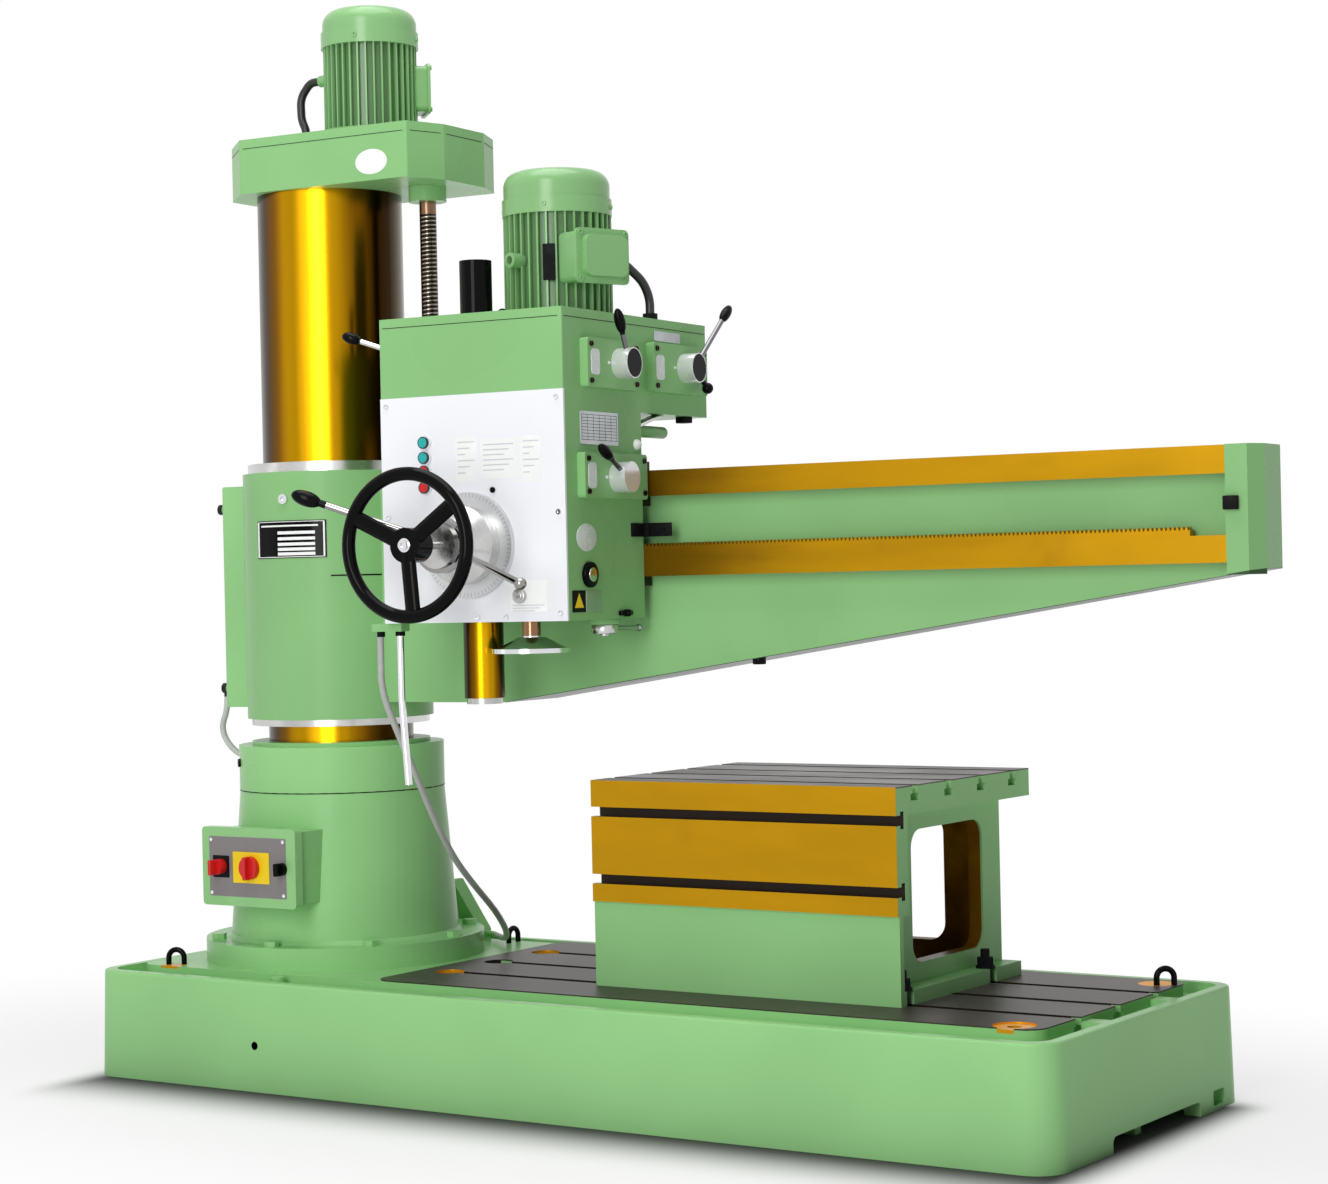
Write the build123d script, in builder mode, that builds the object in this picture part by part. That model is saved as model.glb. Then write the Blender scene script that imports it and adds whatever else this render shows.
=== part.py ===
"""Radial drilling machine: base, swivelling column, lifting arm, traversing head and box table.

Millimetres, +Z up. The origin is on the column's axis at the floor, and +X runs along the base.
Everything that swings with the column is drawn with the arm along +X and turned as it is written.
"""
import math
import os

from build123d import *

os.makedirs("parts", exist_ok=True)

# Clearances
running_gap = 0.06        # shaft or ring in its bore, per side
face_gap = 0.3            # flat faces of pieces that move past each other
seat_gap = 0.02           # a fixed piece in its hole, per side
gear_backlash = 0.6       # play of a tooth pair, measured on the pitch line

# Base
base_left = -395
base_right = 2115
base_half_width = 460
base_rim_top = 250
base_corner = 70
base_edge = 6
base_draft_angle = 1.6
base_wall = 32
base_ceiling = 165
rim_width = 26
gutter_depth = 25
gutter_width = 69
plateau_left = -340
work_left = 385
work_right = 2045
green_top = 255
work_top = 260
plateau_corner = 45
relief_height = 32
relief_front = -200
relief_back = 230
end_pocket_front = 298
end_pocket_back = 358
end_pocket_bottom = 10
end_pocket_top = 42
end_pocket_depth = 16
end_pocket_corner = 6
rib_thickness = 30
cross_rib_pitch = 260
base_slot_pitch = 185
base_slot_start = 465
slot_throat = 24
slot_throat_depth = 17
slot_head = 42
slot_head_height = 17
slot_entry_radius = 34
foundation_radius = 15
foundation_spot_radius = 44
foundation_x = 1975
foundation_inset = 40
foundation_spot_depth = 3
bridge_width = 46
bridge_front_y = -150
bridge_back_y = 182
front_port_x = 115
front_port_z = 105
front_port_radius = 9
gutter_boss_x = 132
gutter_boss_radius = 16

# Lifting staples
eye_bend_radius = 19
eye_wire_radius = 6.5
eye_leg_height = 16
eye_leg_depth = 26
front_eye_x = -245
front_eye_inset = 30
front_eye_turn = 25
right_eye_x = 2017
right_eye_inset = 65
right_eye_turn = 39
back_eye_x = 256
back_eye_inset = 29
back_eye_turn = 90

# Column seat
pad_radius = 336
pad_height = 270
flange_top = 308
cone_bottom_radius = 275
cone_foot_height = 10
cone_top_radius = 247
seat_top = 662
seat_wall = 34
seat_web = 60
seat_bolt_count = 8
seat_bolt_circle_radius = 308
seat_bolt_phase = 6
bolt_shank_radius = 12
bolt_head_flats = 30
bolt_head_height = 13
bolt_depth = 34

# Column
inner_column_radius = 125
inner_column_wall = 28
inner_column_top = 2030
outer_column_radius = 175
outer_column_wall = 24
outer_column_bottom = 690
column_top = 2095
column_cap = 36
ring_radius = 248
ring_top = 770
ring_lip_radius = 215
ring_lip_height = 9
bearing_height = 46
lower_bearing_z = 700
upper_bearing_z = 1940

# Box table
table_left = 904
table_right = 1667
table_front = -230
table_back = 375
table_top = 711
table_plate = 60
table_side_recess = 47
table_back_recess = 56
table_wall = 34
table_flange = 30
table_slot_first = -148
table_slot_pitch = 147
table_slot_count = 4
table_slot_throat = 21
table_slot_throat_depth = 18
table_slot_head = 36
table_slot_head_height = 15
front_slot_high = 642
front_slot_low = 495
front_pad = 6
front_skin = 16
front_band = 48
front_pad_bottom = 445
window_front = -85
window_back = 235
window_bottom = 330
window_top = 610
window_corner = 40
back_window_inset = 122
clamp_notch = 30
clamp_notch_depth = 34
clamp_shank_radius = 10
clamp_nut_flats = 34
clamp_nut_height = 18
clamp_washer_radius = 21
clamp_washer = 5

# Control box on the seat
control_left = -158
control_right = 132
control_bottom = 402
control_top = 587
control_front = -330
control_lid = 25
control_depth = 105
control_wall = 8
control_corner = 10
control_hinge_radius = 6
main_switch_radius = 18
main_switch_depth = 42
pump_switch_radius = 27
latch_radius = 15
switch_grip = 9
latch_grip = 12
main_switch_x = -99
pump_switch_x = -3
latch_x = 92
switch_z = 494
switch_depth = 26
switch_stem_radius = 6
pump_plate = 3
pump_plate_width = 112
pump_plate_height = 73

# Coolant pump and hose
pump_left = 44
pump_crest = 63
pump_right = 149
pump_inset = 25
pump_width = 45
pump_top = 402
pump_low_height = 25
pump_corner = 7
hose_radius = 7.5
hose_straight = 34
spigot_x = 195
spigot_inset = 27
spigot_reach = 35
spigot_angle = -40
spigot_height = 17

# Arm, drawn along +X about the column's axis
arm_angle = 4.09
barrel_radius = 225
barrel_bottom = 834
barrel_top = 1423
bottom_ring_radius = 215
bottom_ring_height = 16
top_ring_radius = 212
top_ring_height = 23
neck_half_width = 100
arm_start = 345
arm_end = 2360
arm_top = 1391
arm_root_bottom = 872
arm_root_end = 550
arm_knee_x = 828
arm_knee_z = 913
arm_bend_x = 1224
arm_bend_z = 972
arm_tip_bottom = 1141
web_front = -110
way_front = -150
arm_back = 130
arm_tip_back = -10
web_thickness = 26
arm_shell = 28
arm_cell_count = 8
arm_rib = 26
arm_rib_drop = 206
low_cell_limit = 2000
way_end = 2290
end_chamfer_x = 24
end_chamfer_y = 38
upper_way_bottom = 1333
upper_way_top = 1390
lower_way_bottom = 1155
lower_way_top = 1210
way_undercut = 17
rack_module = 3
rack_left = 660
rack_right = 2215
rack_body = 15
rack_inset = 1
rack_width = 28
tail_left = -310
tail_half_width = 60
tail_bottom = 857
tail_top = 1400
tail_plug_radius = 13
tail_plug_length = 16
tail_plug_y = -40
tail_plug_low = 903
tail_plug_high = 1345
ring_gland_y = -25
ring_gland_z = 735
conduit_radius = 7.5

# Spindle, feed axis and traverse gearing of the head
spindle_x = 638
spindle_y = -330
feed_axis_x = 705
feed_axis_z = 1230
pinion_teeth = 20
traverse_module = 2.5
traverse_teeth = 35

# Drilling head
head_left = 476
head_right = 950
head_front = -477
head_bottom = 1063
head_top = 1733
head_lid_thickness = 20
panel_thickness = 6
panel_top = 1558
overhang_back = 157
overhang_bottom = 1520
chamber_floor = 15
head_wall = 24
head_corner = 4
front_wall = 12
lightening_left = 570
lightening_right = 862
lightening_bottom = 1090
lightening_top = 1500
lightening_shelf = 1425
gib_depth = 34
gib_height = 21
keeper_height = 21
quill_radius = 45
quill_bottom = 893
quill_travel = 260
quill_margin = 12
quill_bore = 38
quill_rack_width = 30
quill_rack_pitch = 47.5
feed_module = 1.5
feed_teeth = 26
nose_bottom = 880
nose_radius = 40
spindle_radius = 31
spindle_step = 1085
shaft_radius = 20
spline_radius = 17
spindle_top = 1850
taper_mouth_radius = 22.2
taper_end_radius = 18.8
taper_depth = 130
quill_bearing_height = 30
quill_bearing_low = 903
spindle_teeth = 80
drive_teeth = 55
drive_module = 3
drive_gear_width = 33
drive_gear_z = 1546
drive_gear_hub = 34
drive_motor_angle = 56.63
drive_flange_radius = 131
drive_flange = 12
drive_motor_radius = 122
drive_motor_top = 1968
drive_cowl_radius = 124
drive_cowl_top = 2070
drive_box_angle = -22.5
drive_box_half_width = 72
drive_box_bottom = 1803
drive_box_top = 1925
drive_box_reach = 187
drive_lid_start = 163
drive_conduit_radius = 10
drive_conduit_run = 18
guard_radius = 36
guard_wall = 6
guard_top = 1864
feed_journal_radius = 24
traverse_shaft_radius = 9
feed_pinion_width = 34
dial_radius = 115
dial_thickness = 13
feed_ring_radius = 85
feed_ring_back = -490
feed_ring_front = -520
feed_cone_front = -550
feed_hub_radius = 50
feed_hub_front = -610
lever_collar = 10
lever_collar_width = 22
lever_y = -590
lever_tip_y = -700
lever_tip_x = 270
lever_tip_high = 107
lever_tip_low = -86
lever_radius = 8
lever_knob_length = 34
lever_knob_radius = 17
lever_ball_radius = 13
wheel_y = -715
wheel_radius = 150
wheel_rim_radius = 14.5
wheel_hub_radius = 37
wheel_hub_front = -724
wheel_hub_back = -672
wheel_spoke_half_width = 18
wheel_spoke_half_depth = 10
wheel_spoke_angle = 35
wheel_spoke_count = 3
traverse_gear_front = -228
traverse_gear_width = 24
gear_room = 6
pinion_shaft_radius = 12
pinion_width = 27
fine_wheel_x = 784
fine_wheel_y = -360
fine_wheel_z = 998
fine_wheel_radius = 88
fine_wheel_rim = 10
fine_wheel_dish = 24
fine_wheel_hub = 30
fine_shaft_radius = 20
fine_shaft_depth = 38
button_x = 594
button_heights = (1457, 1424, 1394, 1359)
button_radius = 13
button_proud = 12
button_length = 29
button_travel = 3
bezel_radius = 16
bezel_height = 6
button_gap = 0.2
speed_plate = (-405, -185, 1564, 1671)      # front, back, bottom, top
feed_plate = (-121, 125, 1567, 1678)
reverse_plate = (-426, -161, 1325, 1424)
plate_thickness = 20
plate_corner = 8
lever_hub_radius = 33.5
lever_hub_length = 40
lever_pin_radius = 10
lever_rod_radius = 6
lever_rod_inset = 13
lever_grip_radius = 12
lever_grip_length = 46
feed_knob_out = 26
feed_knob_back = 62
feed_knob_drop = 43
feed_knob_radius = 13
speed_y = -275
speed_z = 1620
speed_length = 113
speed_tilt = -23
feed_y = 16
feed_z = 1625
feed_length = 221
feed_tilt = 49
reverse_y = -295
reverse_z = 1371
reverse_length = 120
reverse_tilt = -60
side_hub_y = -400
side_hub_z = 1668
side_hub_radius = 24
side_hub_length = 30
side_reach = 75
side_forward = -35
side_rise = 34
side_grip_radius = 13
side_grip_half = 22
union_left = 424
union_right = 504
union_front = -456
union_back = -424
union_height = 18
pipe_x = 490
pipe_y = -440
pipe_radius = 8
pipe_bend_z = 893
pipe_end_z = 705
pipe_lean = 14
pipe_depth = 22
hose_x = 436

# Lifting gear on top of the column
gearbox_back_x = -231
gearbox_left = -128
gearbox_shoulder = 358
gearbox_right = 396
gearbox_half_width = 185
gearbox_nose = 84
gearbox_top = 2203
gearbox_wall = 12
gearbox_corner = 6
gearbox_floor = 18
gearbox_lid_thickness = 22
screw_x = 288
screw_radius = 20
screw_bottom = 1250
screw_boss_radius = 45
screw_boss_depth = 35
screw_journal_radius = 15
screw_journal_depth = 10
lift_gear_teeth = 60
lift_gear_module = 3
lift_gear_width = 26
lift_gear_z = 2134
nut_radius = 32
nut_depth = 61
nut_flange_radius = 46
nut_flange = 18
screw_hole_radius = 30
lift_gear_hub = 34
lift_motor_x = 129
lift_motor_flange_radius = 125
lift_motor_flange = 15
lift_motor_radius = 112
lift_motor_top = 2441
lift_cowl_radius = 117
lift_cowl_top = 2533
cowl_crown_radius = 36
cowl_skirt = 37
cowl_step = 4
fin_depth = 12
fin_count = 36
fin_thickness = 4
terminal_inset = 5
terminal_corner = 12
terminal_flange = 7
terminal_lid_inset = 15
terminal_lid_corner = 18
lift_box_angle = 45
lift_box_half_width = 50
lift_box_bottom = 2285
lift_box_top = 2405
lift_box_reach = 141
lift_lid_start = 131
motor_shaft_radius = 14
motor_shaft_depth = 36
shaft_stub_radius = 10
shaft_stub_depth = 11
lift_gland_radius = 14
lift_conduit_radius = 10
lift_gland_x = 10
lift_gland_y = -40
lift_gland_z = 2372


def disc(radius, bottom, top, inner=0, at=(0, 0), mode=Mode.ADD):
    """Upright cylinder or ring in the active part."""
    with BuildSketch(Plane.XY.offset(bottom)) as face:
        with Locations(at):
            Circle(radius)
            if inner:
                Circle(inner, mode=Mode.SUBTRACT)
    extrude(face.sketch, amount=top - bottom, mode=mode)


def slab(left, right, front, back, bottom, top, corner=0, mode=Mode.ADD):
    """Upright block between six planes, with rounded upright edges."""
    with BuildSketch(Plane.XY.offset(bottom)) as face:
        with Locations(((left + right) / 2, (front + back) / 2)):
            if corner:
                RectangleRounded(right - left, back - front, corner)
            else:
                Rectangle(right - left, back - front)
    extrude(face.sketch, amount=top - bottom, mode=mode)


def bar_along_y(radius, front, back, x, z, inner=0, mode=Mode.ADD):
    """Cylinder or ring whose axis runs from front to back."""
    with BuildSketch(Plane((x, front, z), x_dir=(1, 0, 0), z_dir=(0, 1, 0))) as face:
        Circle(radius)
        if inner:
            Circle(inner, mode=Mode.SUBTRACT)
    extrude(face.sketch, amount=back - front, mode=mode)


def bar_along_x(radius, left, right, y, z, inner=0, mode=Mode.ADD):
    """Cylinder or ring whose axis runs from left to right."""
    with BuildSketch(Plane((left, y, z), x_dir=(0, 1, 0), z_dir=(1, 0, 0))) as face:
        Circle(radius)
        if inner:
            Circle(inner, mode=Mode.SUBTRACT)
    extrude(face.sketch, amount=right - left, mode=mode)


def front_plate(left, right, bottom, top, front, back, corner=0, mode=Mode.ADD):
    """Block with rounded edges along Y, as a plate on a front wall has."""
    with BuildSketch(Plane((0, front, 0), x_dir=(1, 0, 0), z_dir=(0, -1, 0))) as face:
        with Locations(((left + right) / 2, (bottom + top) / 2)):
            if corner:
                RectangleRounded(right - left, top - bottom, corner)
            else:
                Rectangle(right - left, top - bottom)
    extrude(face.sketch, amount=front - back, mode=mode)


def side_plate(front, back, bottom, top, left, right, corner=0, mode=Mode.ADD):
    """Block with rounded edges along X, as a plate on a side wall has."""
    with BuildSketch(Plane((left, 0, 0), x_dir=(0, 1, 0), z_dir=(1, 0, 0))) as face:
        with Locations(((front + back) / 2, (bottom + top) / 2)):
            if corner:
                RectangleRounded(back - front, top - bottom, corner)
            else:
                Rectangle(back - front, top - bottom)
    extrude(face.sketch, amount=right - left, mode=mode)


def turned(points, mode=Mode.ADD):
    """Solid of revolution about Z from a closed outline of (radius, height) points."""
    with BuildSketch(Plane.XZ) as section:
        with BuildLine():
            Polyline(*points, close=True)
        make_face()
    revolve(section.sketch, axis=Axis.Z, mode=mode)


def tee_slot(start, end, y, top, throat, throat_depth, head, head_height):
    """T-slot along X, cut into the active part from its top."""
    middle = top - throat_depth
    slab(start, end, y - throat / 2, y + throat / 2, middle, top, mode=Mode.SUBTRACT)
    slab(start, end, y - head / 2, y + head / 2, middle - head_height, middle, mode=Mode.SUBTRACT)


def write(piece, name):
    """Label a finished piece and write it where it stands."""
    piece.part.label = name
    export_step(piece.part, f"parts/{name}.step")


def swing(piece, name):
    """Label a finished piece of the arm's side and write it turned to the arm's angle."""
    placed = piece.part.rotate(Axis.Z, arm_angle)
    placed.label = name
    export_step(placed, f"parts/{name}.step")


def rod(start, end, radius):
    """Round bar between two points."""
    along = Vector(*end) - Vector(*start)
    with BuildSketch(Plane(start, z_dir=along)) as face:
        Circle(radius)
    extrude(face.sketch, amount=along.length)


def ball(at, radius):
    """Sphere in the active part."""
    with Locations(at):
        Sphere(radius)


def oval_grip(start, end, radius):
    """Egg-shaped grip whose long axis runs between two points."""
    along = Vector(*end) - Vector(*start)
    middle = (Vector(*end) + Vector(*start)) / 2
    half = along.length / 2
    with BuildSketch(Plane(middle, x_dir=along, z_dir=along.cross(Vector(0, 1, 0.3)))) as face:
        with BuildLine():
            EllipticalCenterArc((0, 0), half, radius, start_angle=0, arc_size=180)
            Line((-half, 0), (half, 0))
        make_face()
    revolve(face.sketch, axis=Axis(middle, along))


def cord(points, radius):
    """Tube along straight runs joined by the largest arcs that the runs allow."""
    runs = [Vector(*end) - Vector(*start) for start, end in zip(points, points[1:])]
    radii = [
        0.45 * min(run.length, onward.length) / math.tan(math.radians(run.get_angle(onward)) / 2)
        for run, onward in zip(runs, runs[1:])
    ]
    with BuildLine():
        route = FilletPolyline(*points, radius=radii)
    with BuildSketch(Plane(points[0], z_dir=runs[0])) as face:
        Circle(radius)
    tube = sweep(face.sketch, path=route)
    section = math.pi * radius ** 2
    print("cord radii", [round(bend) for bend in radii], "length", round(route.length))
    print("volume over section times length", round(tube.volume / (section * route.length), 4))


def involute(angle):
    """Involute function of a pressure angle in radians."""
    return math.tan(angle) - angle


def gear_outline(module_size, teeth, first_tooth):
    """Points of a spur gear with involute flanks, its first tooth at the given angle in degrees."""
    pressure = math.radians(20)
    pitch_radius = module_size * teeth / 2
    base_radius = pitch_radius * math.cos(pressure)
    root_radius = pitch_radius - 1.25 * module_size
    tip_radius = pitch_radius + 0.95 * module_size
    half_tooth = math.pi / (2 * teeth) - gear_backlash / (4 * pitch_radius)
    flank = []
    for radius in (max(base_radius, root_radius), pitch_radius, tip_radius):
        lean = involute(math.acos(base_radius / radius)) if radius > base_radius else 0
        flank.append((radius, half_tooth + involute(pressure) - lean))
    flank.insert(0, (root_radius - 0.05 * module_size, flank[0][1]))
    points = []
    for tooth in range(teeth):
        middle = math.radians(first_tooth) + 2 * math.pi * tooth / teeth
        rising = [(radius, middle - half) for radius, half in flank]
        falling = [(radius, middle + half) for radius, half in reversed(flank)]
        points += [(r * math.cos(a), r * math.sin(a)) for r, a in rising + falling]
    return points


def gear(plane, width, module_size, teeth, first_tooth, bore=0):
    """Spur gear in the active part, from the plane along its normal."""
    with BuildSketch(plane) as face:
        with BuildLine():
            Polyline(*gear_outline(module_size, teeth, first_tooth), close=True)
        make_face()
        if bore:
            Circle(bore, mode=Mode.SUBTRACT)
    extrude(face.sketch, amount=width)


def rack_outline(module_size, start, end, gap_at, body):
    """Points of a toothed bar along x, pitch line at y = 0, with a gap centred on gap_at."""
    pitch = math.pi * module_size
    half_tip = pitch / 4 - gear_backlash / 4 - 0.95 * module_size * math.tan(math.radians(20))
    half_root = pitch / 4 - gear_backlash / 4 + 1.25 * module_size * math.tan(math.radians(20))
    root = -1.25 * module_size
    tip = 0.95 * module_size
    first = math.ceil((start + half_root - gap_at) / pitch - 0.5)
    last = math.floor((end - half_root - gap_at) / pitch - 0.5)
    points = [(start, -body), (start, root)]
    for tooth in range(first, last + 1):
        middle = gap_at + (tooth + 0.5) * pitch
        points += [(middle - half_root, root), (middle - half_tip, tip)]
        points += [(middle + half_tip, tip), (middle + half_root, root)]
    return points + [(end, root), (end, -body)]


# Base casting: hollow bed with a coolant gutter round its working surface
base_middle = (base_left + base_right) / 2
base_length = base_right - base_left
base_spread = base_rim_top * math.tan(math.radians(base_draft_angle))
gutter_floor = base_rim_top - gutter_depth
plateau_half_width = base_half_width - rim_width - gutter_width
foundation_y = foundation_inset - plateau_half_width
eye_places = (
    (front_eye_x, front_eye_inset - plateau_half_width, green_top, front_eye_turn),
    (right_eye_x, plateau_half_width - right_eye_inset, work_top, right_eye_turn),
    (back_eye_x, plateau_half_width - back_eye_inset, green_top, back_eye_turn),
)
with BuildPart() as base_casting:
    with BuildSketch():
        with Locations((base_middle, 0)):
            RectangleRounded(
                base_length + 2 * base_spread, 2 * base_half_width + 2 * base_spread, base_corner
            )
    extrude(amount=base_rim_top, taper=base_draft_angle)
    fillet(base_casting.edges().group_by(Axis.Z)[-1], base_edge)
    slab(
        base_left + rim_width, base_right - rim_width, rim_width - base_half_width,
        base_half_width - rim_width, gutter_floor, base_rim_top, base_corner - rim_width, Mode.SUBTRACT,
    )
    slab(
        plateau_left, work_right, -plateau_half_width, plateau_half_width, gutter_floor, green_top,
        plateau_corner,
    )
    slab(
        work_left, work_right, -plateau_half_width, plateau_half_width, gutter_floor, work_top,
        plateau_corner,
    )
    disc(pad_radius, gutter_floor, pad_height)
    for bridge_y in (bridge_front_y, bridge_back_y):
        slab(
            work_right - rim_width, base_right - rim_width / 2, bridge_y - bridge_width / 2,
            bridge_y + bridge_width / 2, gutter_floor - rim_width, base_rim_top,
        )
    boss_y = -(plateau_half_width + base_half_width - rim_width) / 2
    disc(gutter_boss_radius, gutter_floor, green_top, at=(gutter_boss_x, boss_y))
    slab(
        base_left + base_wall, base_right - base_wall, base_wall - base_half_width,
        base_half_width - base_wall, 0, base_ceiling, base_corner - base_wall, Mode.SUBTRACT,
    )
    slab(base_left + base_wall, base_right - base_wall, -rib_thickness / 2, rib_thickness / 2, 0, base_ceiling)
    first_rib = math.ceil((base_left + base_wall + rib_thickness) / cross_rib_pitch)
    last_rib = math.floor((base_right - base_wall - rib_thickness) / cross_rib_pitch)
    for rib in range(first_rib, last_rib + 1):
        rib_x = rib * cross_rib_pitch
        slab(
            rib_x - rib_thickness / 2, rib_x + rib_thickness / 2, base_wall - base_half_width,
            base_half_width - base_wall, 0, base_ceiling,
        )
    for end_left, end_right in (
        (base_left - base_spread, base_left + base_wall),
        (base_right - base_wall, base_right + base_spread),
    ):
        side_plate(
            relief_front, relief_back, -relief_height, relief_height, end_left, end_right, relief_height / 2,
            Mode.SUBTRACT,
        )
    for slot in (-1, 0, 1):
        slot_y = slot * base_slot_pitch
        tee_slot(
            base_slot_start, work_right, slot_y, work_top, slot_throat, slot_throat_depth, slot_head,
            slot_head_height,
        )
        disc(
            slot_entry_radius, work_top - slot_throat_depth - slot_head_height, work_top,
            at=(base_slot_start, slot_y), mode=Mode.SUBTRACT,
        )
    disc(
        foundation_spot_radius, work_top - foundation_spot_depth, work_top,
        at=(foundation_x, foundation_y), mode=Mode.SUBTRACT,
    )
    disc(foundation_radius, 0, work_top, at=(foundation_x, foundation_y), mode=Mode.SUBTRACT)
    bar_along_y(
        front_port_radius, -base_half_width - base_spread, base_wall - base_half_width, front_port_x,
        front_port_z, mode=Mode.SUBTRACT,
    )
    for eye_x, eye_y, eye_seat, eye_turn in eye_places:
        with BuildSketch(Plane((eye_x, eye_y, eye_seat))) as leg_holes:
            with PolarLocations(eye_bend_radius, 2, start_angle=eye_turn):
                Circle(eye_wire_radius + seat_gap)
        extrude(leg_holes.sketch, amount=-eye_leg_depth, mode=Mode.SUBTRACT)
    side_plate(
        end_pocket_front, end_pocket_back, end_pocket_bottom, end_pocket_top, base_right - end_pocket_depth,
        base_right + base_spread, end_pocket_corner, Mode.SUBTRACT,
    )
    with BuildSketch(Plane.XY.offset(pad_height)):
        with PolarLocations(seat_bolt_circle_radius, seat_bolt_count, start_angle=seat_bolt_phase):
            Circle(bolt_shank_radius + seat_gap)
    extrude(amount=-bolt_depth, mode=Mode.SUBTRACT)
write(base_casting, "base_casting")

# Column seat: bolted flange and cone that holds the fixed inner column
seat_bore = inner_column_radius + seat_gap
cone_foot_z = flange_top + cone_foot_height
cone_slope = (cone_bottom_radius - cone_top_radius) / (seat_top - cone_foot_z)
cavity_bottom = flange_top + seat_web / 2
cavity_top = seat_top - seat_web
control_body_front = control_front + control_lid
with BuildPart() as column_seat:
    turned([
        (seat_bore, pad_height), (pad_radius, pad_height), (pad_radius, flange_top),
        (cone_bottom_radius + cone_foot_height, flange_top), (cone_bottom_radius, cone_foot_z),
        (cone_top_radius, seat_top), (seat_bore, seat_top), (seat_bore, cavity_top),
        (cone_top_radius + cone_slope * seat_web - seat_wall, cavity_top),
        (cone_bottom_radius - seat_wall, cavity_bottom), (seat_bore, cavity_bottom),
    ])
    with BuildSketch(Plane.XY.offset(flange_top)):
        with PolarLocations(seat_bolt_circle_radius, seat_bolt_count, start_angle=seat_bolt_phase):
            Circle(bolt_shank_radius + seat_gap)
    extrude(amount=pad_height - flange_top, mode=Mode.SUBTRACT)
write(column_seat, "column_seat")

with BuildPart() as seat_bolts:
    with BuildSketch(Plane.XY.offset(flange_top)):
        with PolarLocations(seat_bolt_circle_radius, seat_bolt_count, start_angle=seat_bolt_phase):
            RegularPolygon(bolt_head_flats / 2, 6, major_radius=False)
    extrude(amount=bolt_head_height)
    with BuildSketch(Plane.XY.offset(flange_top)):
        with PolarLocations(seat_bolt_circle_radius, seat_bolt_count, start_angle=seat_bolt_phase):
            Circle(bolt_shank_radius)
    extrude(amount=pad_height - bolt_depth - flange_top)
write(seat_bolts, "seat_bolts")

with BuildPart() as inner_column:
    disc(inner_column_radius, pad_height, inner_column_top, inner_column_radius - inner_column_wall)
write(inner_column, "inner_column")

# Lifting staples let into the base
with BuildPart() as lifting_eyes:
    for eye_x, eye_y, eye_seat, eye_turn in eye_places:
        turn = math.radians(eye_turn)
        bend_z = eye_seat + eye_leg_height
        for side in (-1, 1):
            leg_out = side * eye_bend_radius
            leg_at = (eye_x + leg_out * math.cos(turn), eye_y + leg_out * math.sin(turn))
            disc(eye_wire_radius, eye_seat - eye_leg_depth, bend_z, at=leg_at)
        with BuildSketch(Plane((*leg_at, bend_z))) as wire:
            Circle(eye_wire_radius)
        bend_axis = Axis((eye_x, eye_y, bend_z), (math.sin(turn), -math.cos(turn), 0))
        revolve(wire.sketch, axis=bend_axis, revolution_arc=180)
write(lifting_eyes, "lifting_eyes")

# Box table clamped on the base: T-slotted top and front, windows in its sides and back
table_under = table_top - table_plate
side_left = table_left + table_side_recess
side_right = table_right - table_side_recess
back_wall = table_back - table_back_recess
flange_up = work_top + table_flange
skin_back = table_front + front_pad + front_skin
front_inner = table_front + front_band
clamp_inset = clamp_notch_depth - clamp_notch / 2
clamp_places = [
    (clamp_x, side * base_slot_pitch)
    for clamp_x in (table_left + clamp_inset, table_right - clamp_inset)
    for side in (-1, 1)
]
with BuildPart() as box_table:
    slab(table_left, table_right, table_front, table_back, table_under, table_top)
    slab(table_left, table_right, table_front, front_inner, front_pad_bottom, table_under)
    slab(table_left, table_right, table_front + front_pad, skin_back, work_top, front_pad_bottom)
    slab(table_left, table_right, skin_back, back_wall, work_top, flange_up)
    slab(side_left, side_right, skin_back, back_wall, flange_up, table_under)
    slab(
        side_left + table_wall, side_right - table_wall, front_inner, back_wall - table_wall, work_top,
        table_under, mode=Mode.SUBTRACT,
    )
    side_plate(
        window_front, window_back, window_bottom, window_top, side_left, side_right, window_corner,
        Mode.SUBTRACT,
    )
    front_plate(
        side_left + back_window_inset, side_right - back_window_inset, window_bottom, window_top,
        back_wall - table_wall, back_wall, window_corner, Mode.SUBTRACT,
    )
    for slot in range(table_slot_count):
        tee_slot(
            table_left, table_right, table_slot_first + slot * table_slot_pitch, table_top, table_slot_throat,
            table_slot_throat_depth, table_slot_head, table_slot_head_height,
        )
    for slot_z in (front_slot_high, front_slot_low):
        throat_back = table_front + table_slot_throat_depth
        front_plate(
            table_left, table_right, slot_z - table_slot_throat / 2, slot_z + table_slot_throat / 2,
            table_front, throat_back, mode=Mode.SUBTRACT,
        )
        front_plate(
            table_left, table_right, slot_z - table_slot_head / 2, slot_z + table_slot_head / 2, throat_back,
            throat_back + table_slot_head_height, mode=Mode.SUBTRACT,
        )
    for clamp_x, clamp_y in clamp_places:
        outward = math.copysign(clamp_notch_depth, clamp_x - (table_left + table_right) / 2)
        slab(
            min(clamp_x, clamp_x + outward), max(clamp_x, clamp_x + outward), clamp_y - clamp_notch / 2,
            clamp_y + clamp_notch / 2, work_top, flange_up, mode=Mode.SUBTRACT,
        )
        disc(clamp_notch / 2, work_top, flange_up, at=(clamp_x, clamp_y), mode=Mode.SUBTRACT)
write(box_table, "box_table")

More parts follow.
